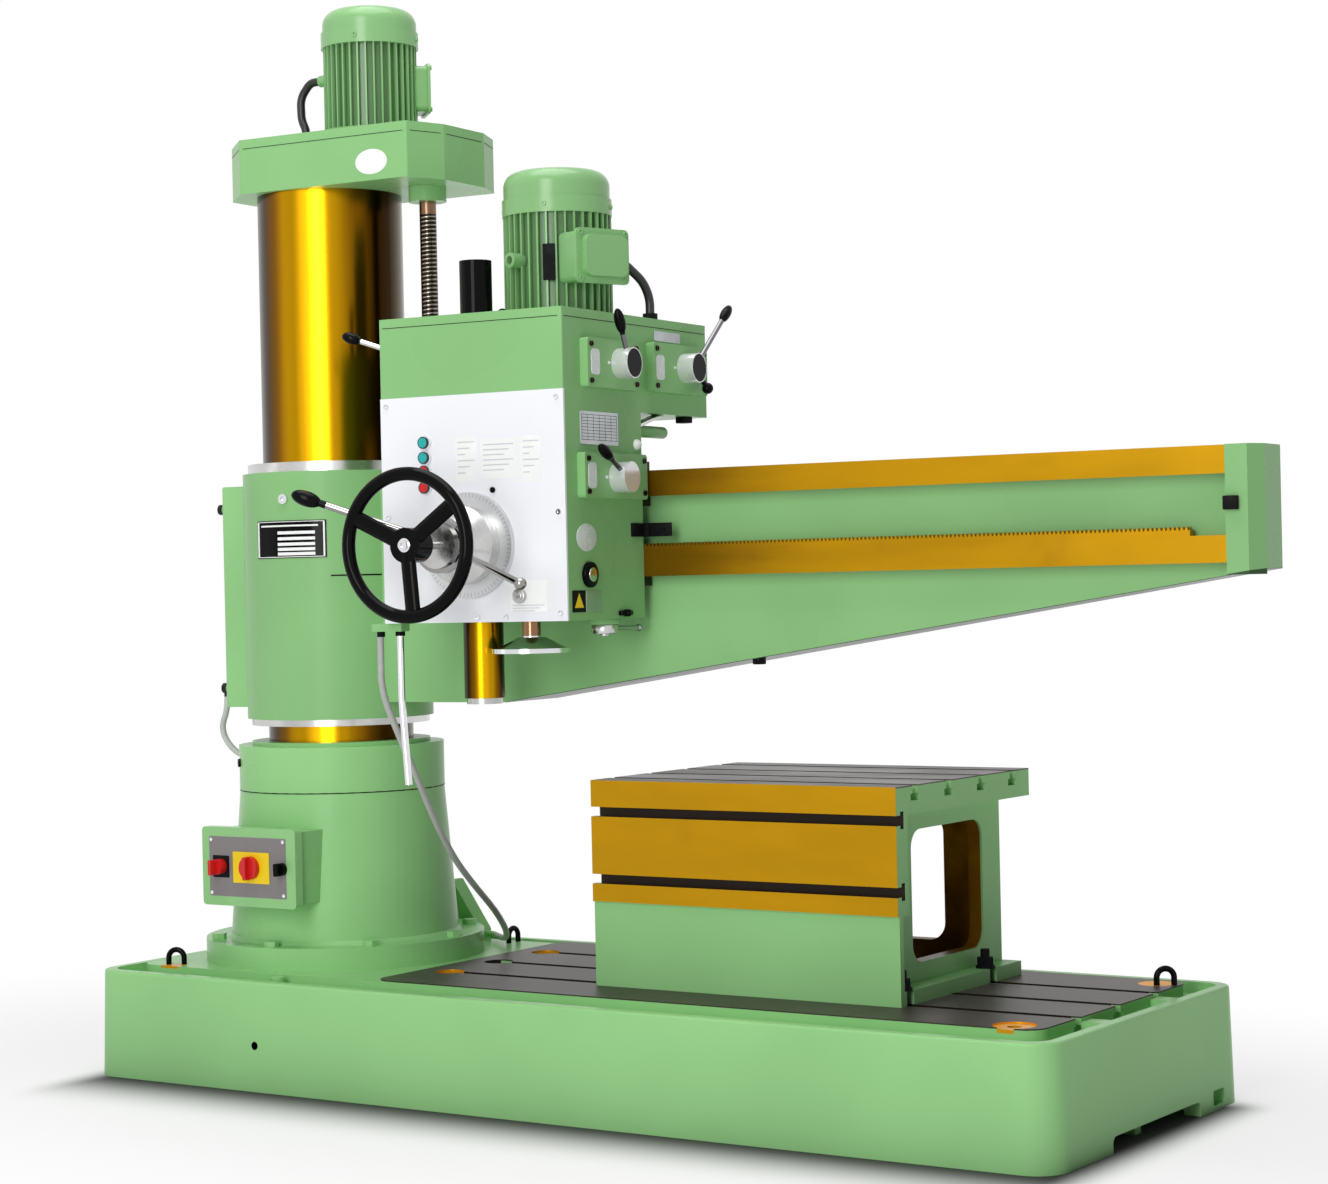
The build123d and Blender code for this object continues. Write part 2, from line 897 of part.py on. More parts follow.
# Four T-bolts with nuts and washers that hold the table in the base's slots
tee_head_top = work_top - slot_throat_depth - face_gap
tee_head_side = slot_head - 2 * face_gap
with BuildPart() as table_bolts:
    for clamp_x, clamp_y in clamp_places:
        slab(
            clamp_x - tee_head_side / 2, clamp_x + tee_head_side / 2, clamp_y - tee_head_side / 2,
            clamp_y + tee_head_side / 2, tee_head_top - slot_head_height + 2 * face_gap, tee_head_top,
        )
        nut_bottom = flange_up + clamp_washer
        disc(clamp_shank_radius, tee_head_top, nut_bottom + 2 * clamp_nut_height, at=(clamp_x, clamp_y))
        disc(clamp_washer_radius, flange_up, nut_bottom, at=(clamp_x, clamp_y))
        with BuildSketch(Plane.XY.offset(nut_bottom)) as nut:
            with Locations((clamp_x, clamp_y)):
                RegularPolygon(clamp_nut_flats / 2, 6, major_radius=False)
        extrude(nut.sketch, amount=clamp_nut_height)
write(table_bolts, "table_bolts")

# Control box fitted against the cone, with its door hinged on the left
box_left = control_left + control_wall
box_right = control_right - control_wall
box_bottom = control_bottom + control_wall
box_top = control_top - control_wall
hinge_x = control_left - control_hinge_radius
hinge_y = control_body_front - control_hinge_radius
hinge_pin_radius = control_hinge_radius / 2
knuckle_height = (box_top - box_bottom) / 6


def cone_radius(height):
    """Outer radius of the column seat's cone."""
    return cone_bottom_radius - cone_slope * (height - cone_foot_z)


with BuildPart() as control_box:
    slab(box_left, box_right, control_body_front, control_body_front + control_depth, box_bottom, box_top)
    slab(
        box_left + control_wall, box_right - control_wall, control_body_front,
        control_body_front + control_depth, box_bottom + control_wall, box_top - control_wall,
        mode=Mode.SUBTRACT,
    )
    turned([
        (0, box_bottom), (cone_radius(box_bottom), box_bottom), (cone_radius(box_top), box_top), (0, box_top),
    ], Mode.SUBTRACT)
    disc(hinge_pin_radius, box_bottom, box_top, at=(hinge_x, hinge_y))
    for knuckle_bottom in (box_bottom, box_top - knuckle_height):
        disc(
            control_hinge_radius, knuckle_bottom, knuckle_bottom + knuckle_height, at=(hinge_x, hinge_y),
        )
        slab(
            hinge_x - control_hinge_radius, control_left - face_gap, hinge_y,
            control_body_front + control_hinge_radius, knuckle_bottom, knuckle_bottom + knuckle_height,
        )
        slab(
            hinge_x, box_left, control_body_front, control_body_front + control_hinge_radius,
            knuckle_bottom, knuckle_bottom + knuckle_height,
        )
write(control_box, "control_box")

door_back = control_body_front - face_gap
door_knuckle_bottom = box_bottom + knuckle_height + face_gap
door_knuckle_top = box_top - knuckle_height - face_gap
switch_places = (main_switch_x, pump_switch_x, latch_x)
plate_front = control_front - pump_plate
with BuildPart() as control_door:
    front_plate(
        control_left, control_right, control_bottom, control_top, control_front, door_back, control_corner,
    )
    slab(
        hinge_x, control_left + control_corner, hinge_y - control_hinge_radius, door_back,
        door_knuckle_bottom, door_knuckle_top,
    )
    disc(control_hinge_radius, door_knuckle_bottom, door_knuckle_top, at=(hinge_x, hinge_y))
    disc(
        hinge_pin_radius + running_gap, door_knuckle_bottom, door_knuckle_top, at=(hinge_x, hinge_y),
        mode=Mode.SUBTRACT,
    )
    front_plate(
        pump_switch_x - pump_plate_width / 2, pump_switch_x + pump_plate_width / 2,
        switch_z - pump_plate_height / 2, switch_z + pump_plate_height / 2, plate_front, control_front,
    )
    for switch_x in switch_places:
        bar_along_y(
            switch_stem_radius + running_gap, plate_front, door_back, switch_x, switch_z, mode=Mode.SUBTRACT,
        )
write(control_door, "control_door")


def rotary_knob(x, face, radius, depth, grip):
    """Round knob with a raised grip bar, its stem through the door."""
    bar_along_y(switch_stem_radius, face - face_gap, door_back, x, switch_z)
    bar_along_y(radius, face - depth / 2, face - face_gap, x, switch_z)
    front_plate(
        x - grip / 2, x + grip / 2, switch_z - radius, switch_z + radius, face - depth, face - depth / 2,
        grip / 3,
    )


with BuildPart() as main_switch:
    rotary_knob(main_switch_x, control_front, main_switch_radius, main_switch_depth, switch_grip)
write(main_switch, "main_switch")

with BuildPart() as pump_switch:
    rotary_knob(pump_switch_x, plate_front, pump_switch_radius, switch_depth, switch_grip)
write(pump_switch, "pump_switch")

# Door latch: its cam turns behind the door's edge
with BuildPart() as door_latch:
    rotary_knob(latch_x, control_front, latch_radius, switch_depth, latch_grip)
write(door_latch, "door_latch")

# Coolant pump in a sloping housing behind the column's flange, its intake in the gutter
pump_front = plateau_half_width - pump_inset
pump_back = pump_front + pump_width
spigot_y = plateau_half_width - spigot_inset
outlet_y = pump_front + pump_inset / 2
pump_spigot_x = spigot_x + spigot_reach * math.cos(math.radians(spigot_angle))
pump_spigot_y = spigot_y + spigot_reach * math.sin(math.radians(spigot_angle))
pump_spigot_z = green_top + spigot_height
with BuildPart() as coolant_pump:
    with BuildSketch(Plane((0, pump_front, 0), x_dir=(1, 0, 0), z_dir=(0, -1, 0))) as side:
        with BuildLine():
            Polyline(
                (pump_left, green_top), (pump_right, green_top), (pump_right, green_top + pump_low_height),
                (pump_crest, pump_top), (pump_left, pump_top), close=True,
            )
        make_face()
        upper = side.vertices().filter_by(lambda corner: corner.Y > green_top + pump_low_height / 2)
        fillet(upper, pump_corner)
    extrude(side.sketch, amount=pump_front - pump_back)
    slab(pump_left, pump_right, plateau_half_width + face_gap, pump_back, gutter_floor, green_top)
    spigot_root = (spigot_x, spigot_y, pump_spigot_z)
    rod((pump_right - pump_corner, outlet_y, pump_spigot_z), spigot_root, hose_radius)
    ball(spigot_root, hose_radius)
    rod(spigot_root, (pump_spigot_x, pump_spigot_y, pump_spigot_z), hose_radius)
write(coolant_pump, "coolant_pump")

# Column that turns on the fixed inner column
column_bore = outer_column_radius - outer_column_wall
cap_bottom = column_top - column_cap
with BuildPart() as outer_column:
    disc(outer_column_radius, outer_column_bottom, column_top, column_bore)
    disc(outer_column_radius, cap_bottom, column_top)
swing(outer_column, "outer_column")

ring_bottom = seat_top + face_gap
ring_bore = outer_column_radius + seat_gap
lip_top = ring_top + ring_lip_height
with BuildPart() as column_ring:
    turned([
        (column_bore, ring_bottom), (ring_radius, ring_bottom), (ring_radius, ring_top),
        (ring_lip_radius, ring_top), (ring_lip_radius, lip_top), (ring_bore, lip_top),
        (ring_bore, outer_column_bottom), (column_bore, outer_column_bottom),
    ])
    bar_along_x(
        tail_plug_radius, -ring_radius - tail_plug_length, tail_plug_radius - ring_radius, ring_gland_y,
        ring_gland_z,
    )
swing(column_ring, "column_ring")

with BuildPart() as column_bearings:
    for bearing_z in (lower_bearing_z, upper_bearing_z):
        disc(
            column_bore - seat_gap, bearing_z, bearing_z + bearing_height, inner_column_radius + running_gap,
        )
    disc(
        inner_column_radius, inner_column_top + face_gap, cap_bottom, inner_column_radius - inner_column_wall,
    )
swing(column_bearings, "column_bearings")


def gearbox_outline():
    """Plan of the lifting gearbox, eight sided."""
    with BuildLine() as outline:
        Polyline(
            (gearbox_left, -gearbox_half_width), (gearbox_shoulder, -gearbox_half_width),
            (gearbox_right, -gearbox_nose), (gearbox_right, gearbox_nose),
            (gearbox_shoulder, gearbox_half_width), (gearbox_left, gearbox_half_width),
            (gearbox_back_x, gearbox_nose), (gearbox_back_x, -gearbox_nose), close=True,
        )
    return outline.line


gearbox_plate_top = column_top + gearbox_floor
with BuildPart() as top_gearbox:
    with BuildSketch(Plane.XY.offset(column_top)) as plan:
        make_face(gearbox_outline())
        fillet(plan.vertices(), gearbox_corner)
    extrude(amount=gearbox_top - column_top)
    with BuildSketch(Plane.XY.offset(gearbox_plate_top)):
        make_face(gearbox_outline())
        offset(amount=-gearbox_wall, kind=Kind.INTERSECTION, mode=Mode.REPLACE)
    extrude(amount=gearbox_top - gearbox_plate_top, mode=Mode.SUBTRACT)
    disc(screw_boss_radius, column_top - screw_boss_depth, gearbox_plate_top, at=(screw_x, 0))
    disc(
        screw_radius + running_gap, column_top - screw_boss_depth, gearbox_plate_top, at=(screw_x, 0),
        mode=Mode.SUBTRACT,
    )
    disc(
        shaft_stub_radius + running_gap, gearbox_plate_top - shaft_stub_depth - face_gap, gearbox_plate_top,
        at=(lift_motor_x, 0), mode=Mode.SUBTRACT,
    )
swing(top_gearbox, "top_gearbox")

lid_top = gearbox_top + gearbox_lid_thickness
with BuildPart() as gearbox_lid:
    with BuildSketch(Plane.XY.offset(gearbox_top)) as plan:
        make_face(gearbox_outline())
        fillet(plan.vertices(), gearbox_corner)
    extrude(amount=gearbox_lid_thickness)
    disc(
        motor_shaft_radius + face_gap, gearbox_top, lid_top, at=(lift_motor_x, 0), mode=Mode.SUBTRACT,
    )
    disc(
        screw_journal_radius + running_gap, gearbox_top, gearbox_top + screw_journal_depth + face_gap,
        at=(screw_x, 0), mode=Mode.SUBTRACT,
    )
swing(gearbox_lid, "gearbox_lid")

# Lifting screw with its wheel, and the motor's pinion
lift_gear_top = lift_gear_z + lift_gear_width
with BuildPart() as lift_screw:
    disc(screw_radius, screw_bottom, lift_gear_top, at=(screw_x, 0))
    disc(screw_journal_radius, lift_gear_top, gearbox_top + screw_journal_depth, at=(screw_x, 0))
swing(lift_screw, "lift_screw")

with BuildPart() as screw_gear:
    gear(
        Plane((screw_x, 0, lift_gear_z)), lift_gear_width, lift_gear_module, lift_gear_teeth, 180,
        screw_radius + seat_gap,
    )
    disc(
        lift_gear_hub, gearbox_plate_top + face_gap, lift_gear_z, screw_radius + seat_gap, at=(screw_x, 0),
    )
swing(screw_gear, "screw_gear")

lift_pinion_teeth = round(2 * (screw_x - lift_motor_x) / lift_gear_module) - lift_gear_teeth
with BuildPart() as lift_motor_pinion:
    gear(
        Plane((lift_motor_x, 0, lift_gear_z)), lift_gear_width, lift_gear_module, lift_pinion_teeth,
        180 / lift_pinion_teeth,
    )
    disc(
        motor_shaft_radius, gearbox_plate_top + face_gap, lid_top + motor_shaft_depth, at=(lift_motor_x, 0),
    )
    disc(
        shaft_stub_radius, gearbox_plate_top - shaft_stub_depth, gearbox_plate_top + face_gap,
        at=(lift_motor_x, 0),
    )
swing(lift_motor_pinion, "lift_motor_pinion")


def finned_motor(at, bottom, flange_radius, flange_top, radius, body_top, cowl_radius, cowl_top):
    """Upright motor: flange, finned body and fan cowl, with a bore for its shaft."""
    disc(flange_radius, bottom, flange_top, at=at)
    disc(radius - fin_depth, flange_top, body_top, at=at)
    with BuildSketch(Plane((at[0], at[1], flange_top))) as fins:
        with PolarLocations(radius - fin_depth, fin_count):
            with Locations((fin_depth / 2 - fin_thickness / 2, 0)):
                Rectangle(fin_depth + fin_thickness, fin_thickness)
    extrude(fins.sketch, amount=body_top - flange_top)
    crown = cowl_radius - cowl_step
    rounding = cowl_top - cowl_crown_radius
    with BuildSketch(Plane((at[0], at[1], 0), x_dir=(1, 0, 0), z_dir=(0, -1, 0))) as cowl:
        with BuildLine():
            Polyline(
                (0, cowl_top), (0, body_top), (cowl_radius, body_top), (cowl_radius, body_top + cowl_skirt),
                (crown, body_top + cowl_skirt), (crown, rounding),
            )
            CenterArc((crown - cowl_crown_radius, rounding), cowl_crown_radius, 0, 90)
            Line((crown - cowl_crown_radius, cowl_top), (0, cowl_top))
        make_face()
    revolve(cowl.sketch, axis=Axis((at[0], at[1], 0), (0, 0, 1)))
    bore_top = bottom + motor_shaft_depth + face_gap
    disc(motor_shaft_radius + running_gap, bottom, bore_top, at=at, mode=Mode.SUBTRACT)


def terminal_box(plane, start, lid_start, reach, half_width, height):
    """Box on a motor's side along the plane's X, its lid flanged and raised, above the plane."""
    for near, far, inset, corner in (
        (start, lid_start, terminal_inset, terminal_corner),
        (lid_start, lid_start + terminal_flange, 0, terminal_corner),
        (lid_start, reach, terminal_lid_inset, terminal_lid_corner),
    ):
        face_at = plane.from_local_coords((near, 0, height / 2))
        with BuildSketch(Plane(face_at, x_dir=plane.y_dir, z_dir=plane.x_dir)) as face:
            RectangleRounded(2 * (half_width - inset), height - 2 * inset, corner)
        extrude(face.sketch, amount=far - near)


with BuildPart() as lift_motor:
    finned_motor(
        (lift_motor_x, 0), lid_top, lift_motor_flange_radius, lid_top + lift_motor_flange, lift_motor_radius,
        lift_motor_top, lift_cowl_radius, lift_cowl_top,
    )
    terminal_box(
        Plane((lift_motor_x, 0, lift_box_bottom)).rotated((0, 0, lift_box_angle)),
        lift_motor_radius - 2 * fin_depth, lift_lid_start, lift_box_reach, lift_box_half_width,
        lift_box_top - lift_box_bottom,
    )
    bar_along_x(lift_gland_radius, lift_gland_x, lift_motor_x - lift_gland_radius, lift_gland_y, lift_gland_z)
swing(lift_motor, "lift_motor")

# Conduit from the lifting motor down to its gearbox
with BuildPart() as lift_motor_conduit:
    cord([
        (lift_gland_x, lift_gland_y, lift_gland_z), (-20, lift_gland_y, lift_gland_z),
        (-51, lift_gland_y, 2338), (-49, lift_gland_y, 2284), (-36, lift_gland_y, 2258),
        (-36, lift_gland_y, lid_top),
    ], lift_conduit_radius)
swing(lift_motor_conduit, "lift_motor_conduit")

# Arm: clamping barrel on the column, neck and tapering beam
arm_bore = outer_column_radius + running_gap


def underside(x):
    """Height of the beam's underside."""
    knees = (
        (arm_start, arm_root_bottom), (arm_root_end, arm_root_bottom), (arm_knee_x, arm_knee_z),
        (arm_bend_x, arm_bend_z), (arm_end, arm_tip_bottom),
    )
    for (left, low), (right, high) in zip(knees, knees[1:]):
        if x <= right:
            return low + (high - low) * (x - left) / (right - left)


def beam_face(points):
    """Face in the plane of the arm's web from (x, height) points."""
    with BuildSketch(Plane((0, web_front, 0), x_dir=(1, 0, 0), z_dir=(0, -1, 0))) as face:
        with BuildLine():
            Polyline(*points, close=True)
        make_face()
    return face.sketch


cell_pitch = (arm_end - arm_start - arm_rib) / arm_cell_count
arm_rib_z = arm_top - arm_rib_drop
with BuildPart() as arm_casting:
    extrude(beam_face([
        (arm_start, arm_top), (arm_end, arm_top), (arm_end, arm_tip_bottom), (arm_bend_x, arm_bend_z),
        (arm_knee_x, arm_knee_z), (arm_root_end, arm_root_bottom), (arm_start, arm_root_bottom),
    ]), amount=web_front - arm_back)
    with BuildSketch(Plane.XY.offset(arm_root_bottom)):
        with BuildLine():
            Polyline((arm_start, arm_back), (arm_end, arm_back), (arm_end, arm_tip_back), close=True)
        make_face()
    extrude(amount=arm_top - arm_root_bottom, mode=Mode.SUBTRACT)
    for cell in range(arm_cell_count):
        cell_left = arm_start + arm_rib + cell * cell_pitch
        cell_right = cell_left + cell_pitch - arm_rib
        pocket_depth = arm_back - web_front - web_thickness
        front_plate(
            cell_left, cell_right, arm_rib_z + arm_rib / 2, arm_top - arm_shell, web_front + web_thickness,
            arm_back, arm_rib / 2, Mode.SUBTRACT,
        )
        if cell_right < low_cell_limit:
            pocket = beam_face([
                (cell_left, underside(cell_left) + arm_shell), (cell_right, underside(cell_right) + arm_shell),
                (cell_right, arm_rib_z - arm_rib / 2), (cell_left, arm_rib_z - arm_rib / 2),
            ])
            extrude(pocket.moved(Location((0, web_thickness, 0))), amount=-pocket_depth, mode=Mode.SUBTRACT)
    slab(0, arm_start, -neck_half_width, neck_half_width, arm_root_bottom, arm_top)
    with BuildSketch(Plane.XY.offset(underside(way_end))):
        with BuildLine():
            Polyline(
                (way_end, way_front), (arm_end - end_chamfer_x, way_front),
                (arm_end, way_front + end_chamfer_y), (arm_end, web_front), (way_end, web_front), close=True,
            )
        make_face()
    extrude(amount=arm_top - underside(way_end))
    disc(barrel_radius, barrel_bottom, barrel_top)
    disc(arm_bore, barrel_bottom, barrel_top, mode=Mode.SUBTRACT)
    disc(screw_hole_radius, arm_root_bottom, arm_top, at=(screw_x, 0), mode=Mode.SUBTRACT)
    disc(nut_radius + seat_gap, arm_top - nut_depth, arm_top, at=(screw_x, 0), mode=Mode.SUBTRACT)
swing(arm_casting, "arm_casting")

# Ways on the front of the beam, undercut along their lower edges
with BuildPart() as arm_ways:
    for way_bottom, way_top in ((upper_way_bottom, upper_way_top), (lower_way_bottom, lower_way_top)):
        with BuildSketch(Plane((arm_start, 0, 0), x_dir=(0, 1, 0), z_dir=(1, 0, 0))) as way:
            with BuildLine():
                Polyline(
                    (way_front, way_bottom), (web_front, way_bottom + way_undercut), (web_front, way_top),
                    (way_front, way_top), close=True,
                )
            make_face()
        extrude(way.sketch, amount=way_end - arm_start)
swing(arm_ways, "arm_ways")

# Rack on the lower way, and the pinion above it
rack_pitch_z = lower_way_top + rack_body
pinion_radius = rack_module * pinion_teeth / 2
pinion_z = rack_pitch_z + pinion_radius
traverse_distance = traverse_module * traverse_teeth
pinion_x = feed_axis_x + math.sqrt(traverse_distance ** 2 - (pinion_z - feed_axis_z) ** 2)
rack_front = way_front + rack_inset

with BuildPart() as arm_rack:
    with BuildSketch(Plane((0, rack_front, rack_pitch_z), x_dir=(1, 0, 0), z_dir=(0, -1, 0))) as teeth:
        with BuildLine():
            Polyline(*rack_outline(rack_module, rack_left, rack_right, pinion_x, rack_body), close=True)
        make_face()
    extrude(amount=-rack_width)
swing(arm_rack, "arm_rack")

with BuildPart() as sleeve_rings:
    disc(bottom_ring_radius, barrel_bottom - bottom_ring_height, barrel_bottom, arm_bore)
    disc(top_ring_radius, barrel_top, barrel_top + top_ring_height, arm_bore)
swing(sleeve_rings, "sleeve_rings")

with BuildPart() as lift_nut:
    disc(nut_radius, arm_top - nut_depth, arm_top, screw_radius + running_gap, at=(screw_x, 0))
    disc(nut_flange_radius, arm_top, arm_top + nut_flange, screw_radius + running_gap, at=(screw_x, 0))
swing(lift_nut, "lift_nut")

# Electric box on the back of the barrel, with two cable plugs
with BuildPart() as tail_box:
    slab(tail_left, 0, -tail_half_width, tail_half_width, tail_bottom, tail_top)
    fillet(tail_box.edges().group_by(Axis.X)[0], radius=tail_plug_radius)
    disc(barrel_radius, barrel_bottom, barrel_top, mode=Mode.SUBTRACT)
    for plug_z in (tail_plug_low, tail_plug_high):
        bar_along_x(tail_plug_radius, tail_left - tail_plug_length, tail_left, tail_plug_y, plug_z)
    disc(
        conduit_radius, tail_plug_low - tail_plug_radius - tail_plug_length / 2, tail_plug_low,
        at=(tail_left - tail_plug_length / 2, tail_plug_y),
    )
swing(tail_box, "tail_box")

# Cable that hangs from the box to the column's ring
plug_middle = tail_left - tail_plug_length / 2
with BuildPart() as sleeve_conduit:
    cord([
        (plug_middle, tail_plug_y, tail_plug_low - tail_plug_radius - tail_plug_length / 2),
        (plug_middle, tail_plug_y, 850), (-338, -38, 812), (-338, -34, 772),
        (-316, -29, 744), (-286, ring_gland_y, ring_gland_z),
        (-ring_radius - tail_plug_length, ring_gland_y, ring_gland_z),
    ], conduit_radius)
swing(sleeve_conduit, "sleeve_conduit")

# Head casting: gear chamber on top, bores for quill, feed and traverse below
head_back = way_front - face_gap
head_lid_z = head_top - head_lid_thickness
chamber_z = overhang_bottom + chamber_floor
panel_back = head_front + panel_thickness
gear_tip = traverse_module * (traverse_teeth / 2 + 1) + gear_room
gear_pocket_front = traverse_gear_front - gear_room
pinion_stop = spindle_y + feed_pinion_width / 2 + gear_room
rack_slot = quill_rack_pitch + 2 * feed_module
drive_distance = drive_module * (spindle_teeth + drive_teeth) / 2
motor_x = spindle_x + drive_distance * math.cos(math.radians(drive_motor_angle))
motor_y = spindle_y + drive_distance * math.sin(math.radians(drive_motor_angle))
spindle_at = (spindle_x, spindle_y)
motor_at = (motor_x, motor_y)
with BuildPart() as head_casting:
    with BuildSketch(Plane((head_left, 0, 0), x_dir=(0, 1, 0), z_dir=(1, 0, 0))):
        with BuildLine():
            Polyline(
                (panel_back, head_bottom), (head_back, head_bottom), (head_back, overhang_bottom),
                (overhang_back, overhang_bottom), (overhang_back, head_lid_z), (head_front, head_lid_z),
                (head_front, panel_top), (panel_back, panel_top), close=True,
            )
        make_face()
    extrude(amount=head_right - head_left)
    upright = head_casting.edges().filter_by(Axis.Z).group_by(Axis.Y)
    fillet(upright[0] + upright[-1], head_corner)
    slab(
        head_left + head_wall, head_right - head_wall, head_front + front_wall, overhang_back - front_wall,
        chamber_z, head_lid_z, mode=Mode.SUBTRACT,
    )
    for room_left, room_right, room_front, room_bottom in (
        (head_left + head_wall, lightening_left, panel_back + head_wall, lightening_bottom),
        (lightening_right, head_right - head_wall, panel_back + head_wall, lightening_bottom),
        (lightening_left, lightening_right, spindle_y + quill_radius + head_wall, lightening_shelf),
    ):
        slab(room_left, room_right, room_front, head_back, room_bottom, lightening_top, mode=Mode.SUBTRACT)
    slab(union_left, union_right, union_front, union_back, head_bottom - union_height, head_bottom)
    disc(quill_radius + running_gap, head_bottom, chamber_z, at=spindle_at, mode=Mode.SUBTRACT)
    slab(
        spindle_x, spindle_x + rack_slot, spindle_y - quill_rack_width / 2 - face_gap,
        spindle_y + quill_rack_width / 2 + face_gap, head_bottom, chamber_z, mode=Mode.SUBTRACT,
    )
    bar_along_y(
        feed_journal_radius + running_gap, panel_back, pinion_stop, feed_axis_x, feed_axis_z,
        mode=Mode.SUBTRACT,
    )
    bar_along_y(
        traverse_shaft_radius + running_gap, pinion_stop, gear_pocket_front, feed_axis_x, feed_axis_z,
        mode=Mode.SUBTRACT,
    )
    slab(
        feed_axis_x - gear_tip, pinion_x + gear_tip, gear_pocket_front, head_back, feed_axis_z - gear_tip,
        pinion_z + gear_tip, mode=Mode.SUBTRACT,
    )
    bar_along_y(
        pinion_shaft_radius + running_gap, gear_pocket_front - head_wall, gear_pocket_front, pinion_x,
        pinion_z, mode=Mode.SUBTRACT,
    )
    disc(
        fine_shaft_radius + running_gap, head_bottom, head_bottom + fine_shaft_depth + face_gap,
        at=(fine_wheel_x, fine_wheel_y), mode=Mode.SUBTRACT,
    )
    disc(
        pipe_radius + running_gap, head_bottom - union_height, head_bottom + pipe_depth + face_gap,
        at=(pipe_x, pipe_y), mode=Mode.SUBTRACT,
    )
    for button_z in button_heights:
        bar_along_y(
            button_radius + button_gap, panel_back, head_front + button_length, button_x, button_z,
            mode=Mode.SUBTRACT,
        )
    disc(
        shaft_stub_radius + running_gap, chamber_z - shaft_stub_depth - face_gap, chamber_z, at=motor_at,
        mode=Mode.SUBTRACT,
    )
    bar_along_x(
        lever_pin_radius + running_gap, head_left, head_left + head_wall, side_hub_y, side_hub_z,
        mode=Mode.SUBTRACT,
    )
swing(head_casting, "head_casting")

with BuildPart() as head_lid:
    slab(head_left, head_right, head_front, overhang_back, head_lid_z, head_top, head_corner)
    disc(shaft_radius + face_gap, head_lid_z, head_top, at=spindle_at, mode=Mode.SUBTRACT)
    disc(motor_shaft_radius + face_gap, head_lid_z, head_top, at=motor_at, mode=Mode.SUBTRACT)
swing(head_lid, "head_lid")

with BuildPart() as front_panel:
    front_plate(head_left, head_right, head_bottom, panel_top, head_front, panel_back)
    bar_along_y(
        feed_journal_radius + face_gap, head_front, panel_back, feed_axis_x, feed_axis_z, mode=Mode.SUBTRACT,
    )
    for button_z in button_heights:
        bar_along_y(bezel_radius, head_front - bezel_height, head_front, button_x, button_z)
        bar_along_y(
            button_radius + button_gap, head_front - bezel_height, panel_back, button_x, button_z,
            mode=Mode.SUBTRACT,
        )
swing(front_panel, "front_panel")

# Gibs behind the ways, and the keeper that rides on the arm's top
with BuildPart() as head_gibs:
    gib_back = head_back + gib_depth
    gib_rise = way_undercut * gib_depth / (web_front - way_front)
    for way_bottom in (upper_way_bottom, lower_way_bottom):
        with BuildSketch(Plane((head_left, 0, 0), x_dir=(0, 1, 0), z_dir=(1, 0, 0))) as wedge:
            with BuildLine():
                Polyline(
                    (head_back, way_bottom - gib_height), (gib_back, way_bottom - gib_height),
                    (gib_back, way_bottom + gib_rise - 2 * face_gap), (head_back, way_bottom - 2 * face_gap),
                    close=True,
                )
            make_face()
        extrude(wedge.sketch, amount=head_right - head_left)
    slab(head_left, head_right, head_back, gib_back, upper_way_top + face_gap, upper_way_top + keeper_height)
swing(head_gibs, "head_gibs")

with BuildPart() as spindle_guard:
    disc(guard_radius, head_top, guard_top, guard_radius - guard_wall, at=spindle_at)
    disc(guard_radius, guard_top - guard_wall, guard_top, at=spindle_at)
swing(spindle_guard, "spindle_guard")

# Drive motor with its terminal box, and the conduit into the head
box_plane = Plane((motor_x, motor_y, drive_box_bottom)).rotated((0, 0, drive_box_angle))
with BuildPart() as drive_motor:
    finned_motor(
        motor_at, head_top, drive_flange_radius, head_top + drive_flange, drive_motor_radius, drive_motor_top,
        drive_cowl_radius, drive_cowl_top,
    )
    terminal_box(
        box_plane, drive_motor_radius - 2 * fin_depth, drive_lid_start, drive_box_reach, drive_box_half_width,
        drive_box_top - drive_box_bottom,
    )
swing(drive_motor, "drive_motor")

conduit_reach = drive_lid_start - 2 * drive_conduit_radius
box_half = drive_box_half_width - terminal_inset
box_side = box_plane.from_local_coords((conduit_reach, box_half, 0))
box_out = box_plane.from_local_coords((conduit_reach, box_half + drive_conduit_run, 0))
with BuildPart() as drive_motor_conduit:
    cord([
        (box_side.X, box_side.Y, 1850), (box_out.X, box_out.Y, 1850), (932, -96, 1816), (936, -74, 1780),
        (936, -74, head_top),
    ], drive_conduit_radius)
swing(drive_motor_conduit, "drive_motor_conduit")

with BuildPart() as shift_plates:
    for plate, pin_y, pin_z in (
        (speed_plate, speed_y, speed_z),
        (feed_plate, feed_y, feed_z),
        (reverse_plate, reverse_y, reverse_z),
    ):
        side_plate(*plate, head_right, head_right + plate_thickness, plate_corner)
        bar_along_x(
            lever_pin_radius + running_gap, head_right, head_right + plate_thickness, pin_y, pin_z,
            mode=Mode.SUBTRACT,
        )
swing(shift_plates, "shift_plates")

# Quill with its feed rack, and the spindle that turns in it
quill_top = feed_axis_z + quill_travel + quill_margin
rack_low = feed_axis_z - quill_margin
with BuildPart() as quill:
    disc(quill_radius, quill_bottom, quill_top, at=spindle_at)
    rack_plane = Plane(
        (spindle_x + quill_rack_pitch, spindle_y - quill_rack_width / 2, 0), x_dir=(0, 0, 1), z_dir=(0, 1, 0),
    )
    with BuildSketch(rack_plane) as feed_rack:
        with BuildLine():
            Polyline(
                *rack_outline(feed_module, rack_low, quill_top, feed_axis_z, quill_rack_pitch - quill_bore),
                close=True,
            )
        make_face()
    extrude(feed_rack.sketch, amount=quill_rack_width)
    disc(quill_bore, quill_bottom, quill_top, at=spindle_at, mode=Mode.SUBTRACT)
swing(quill, "quill")

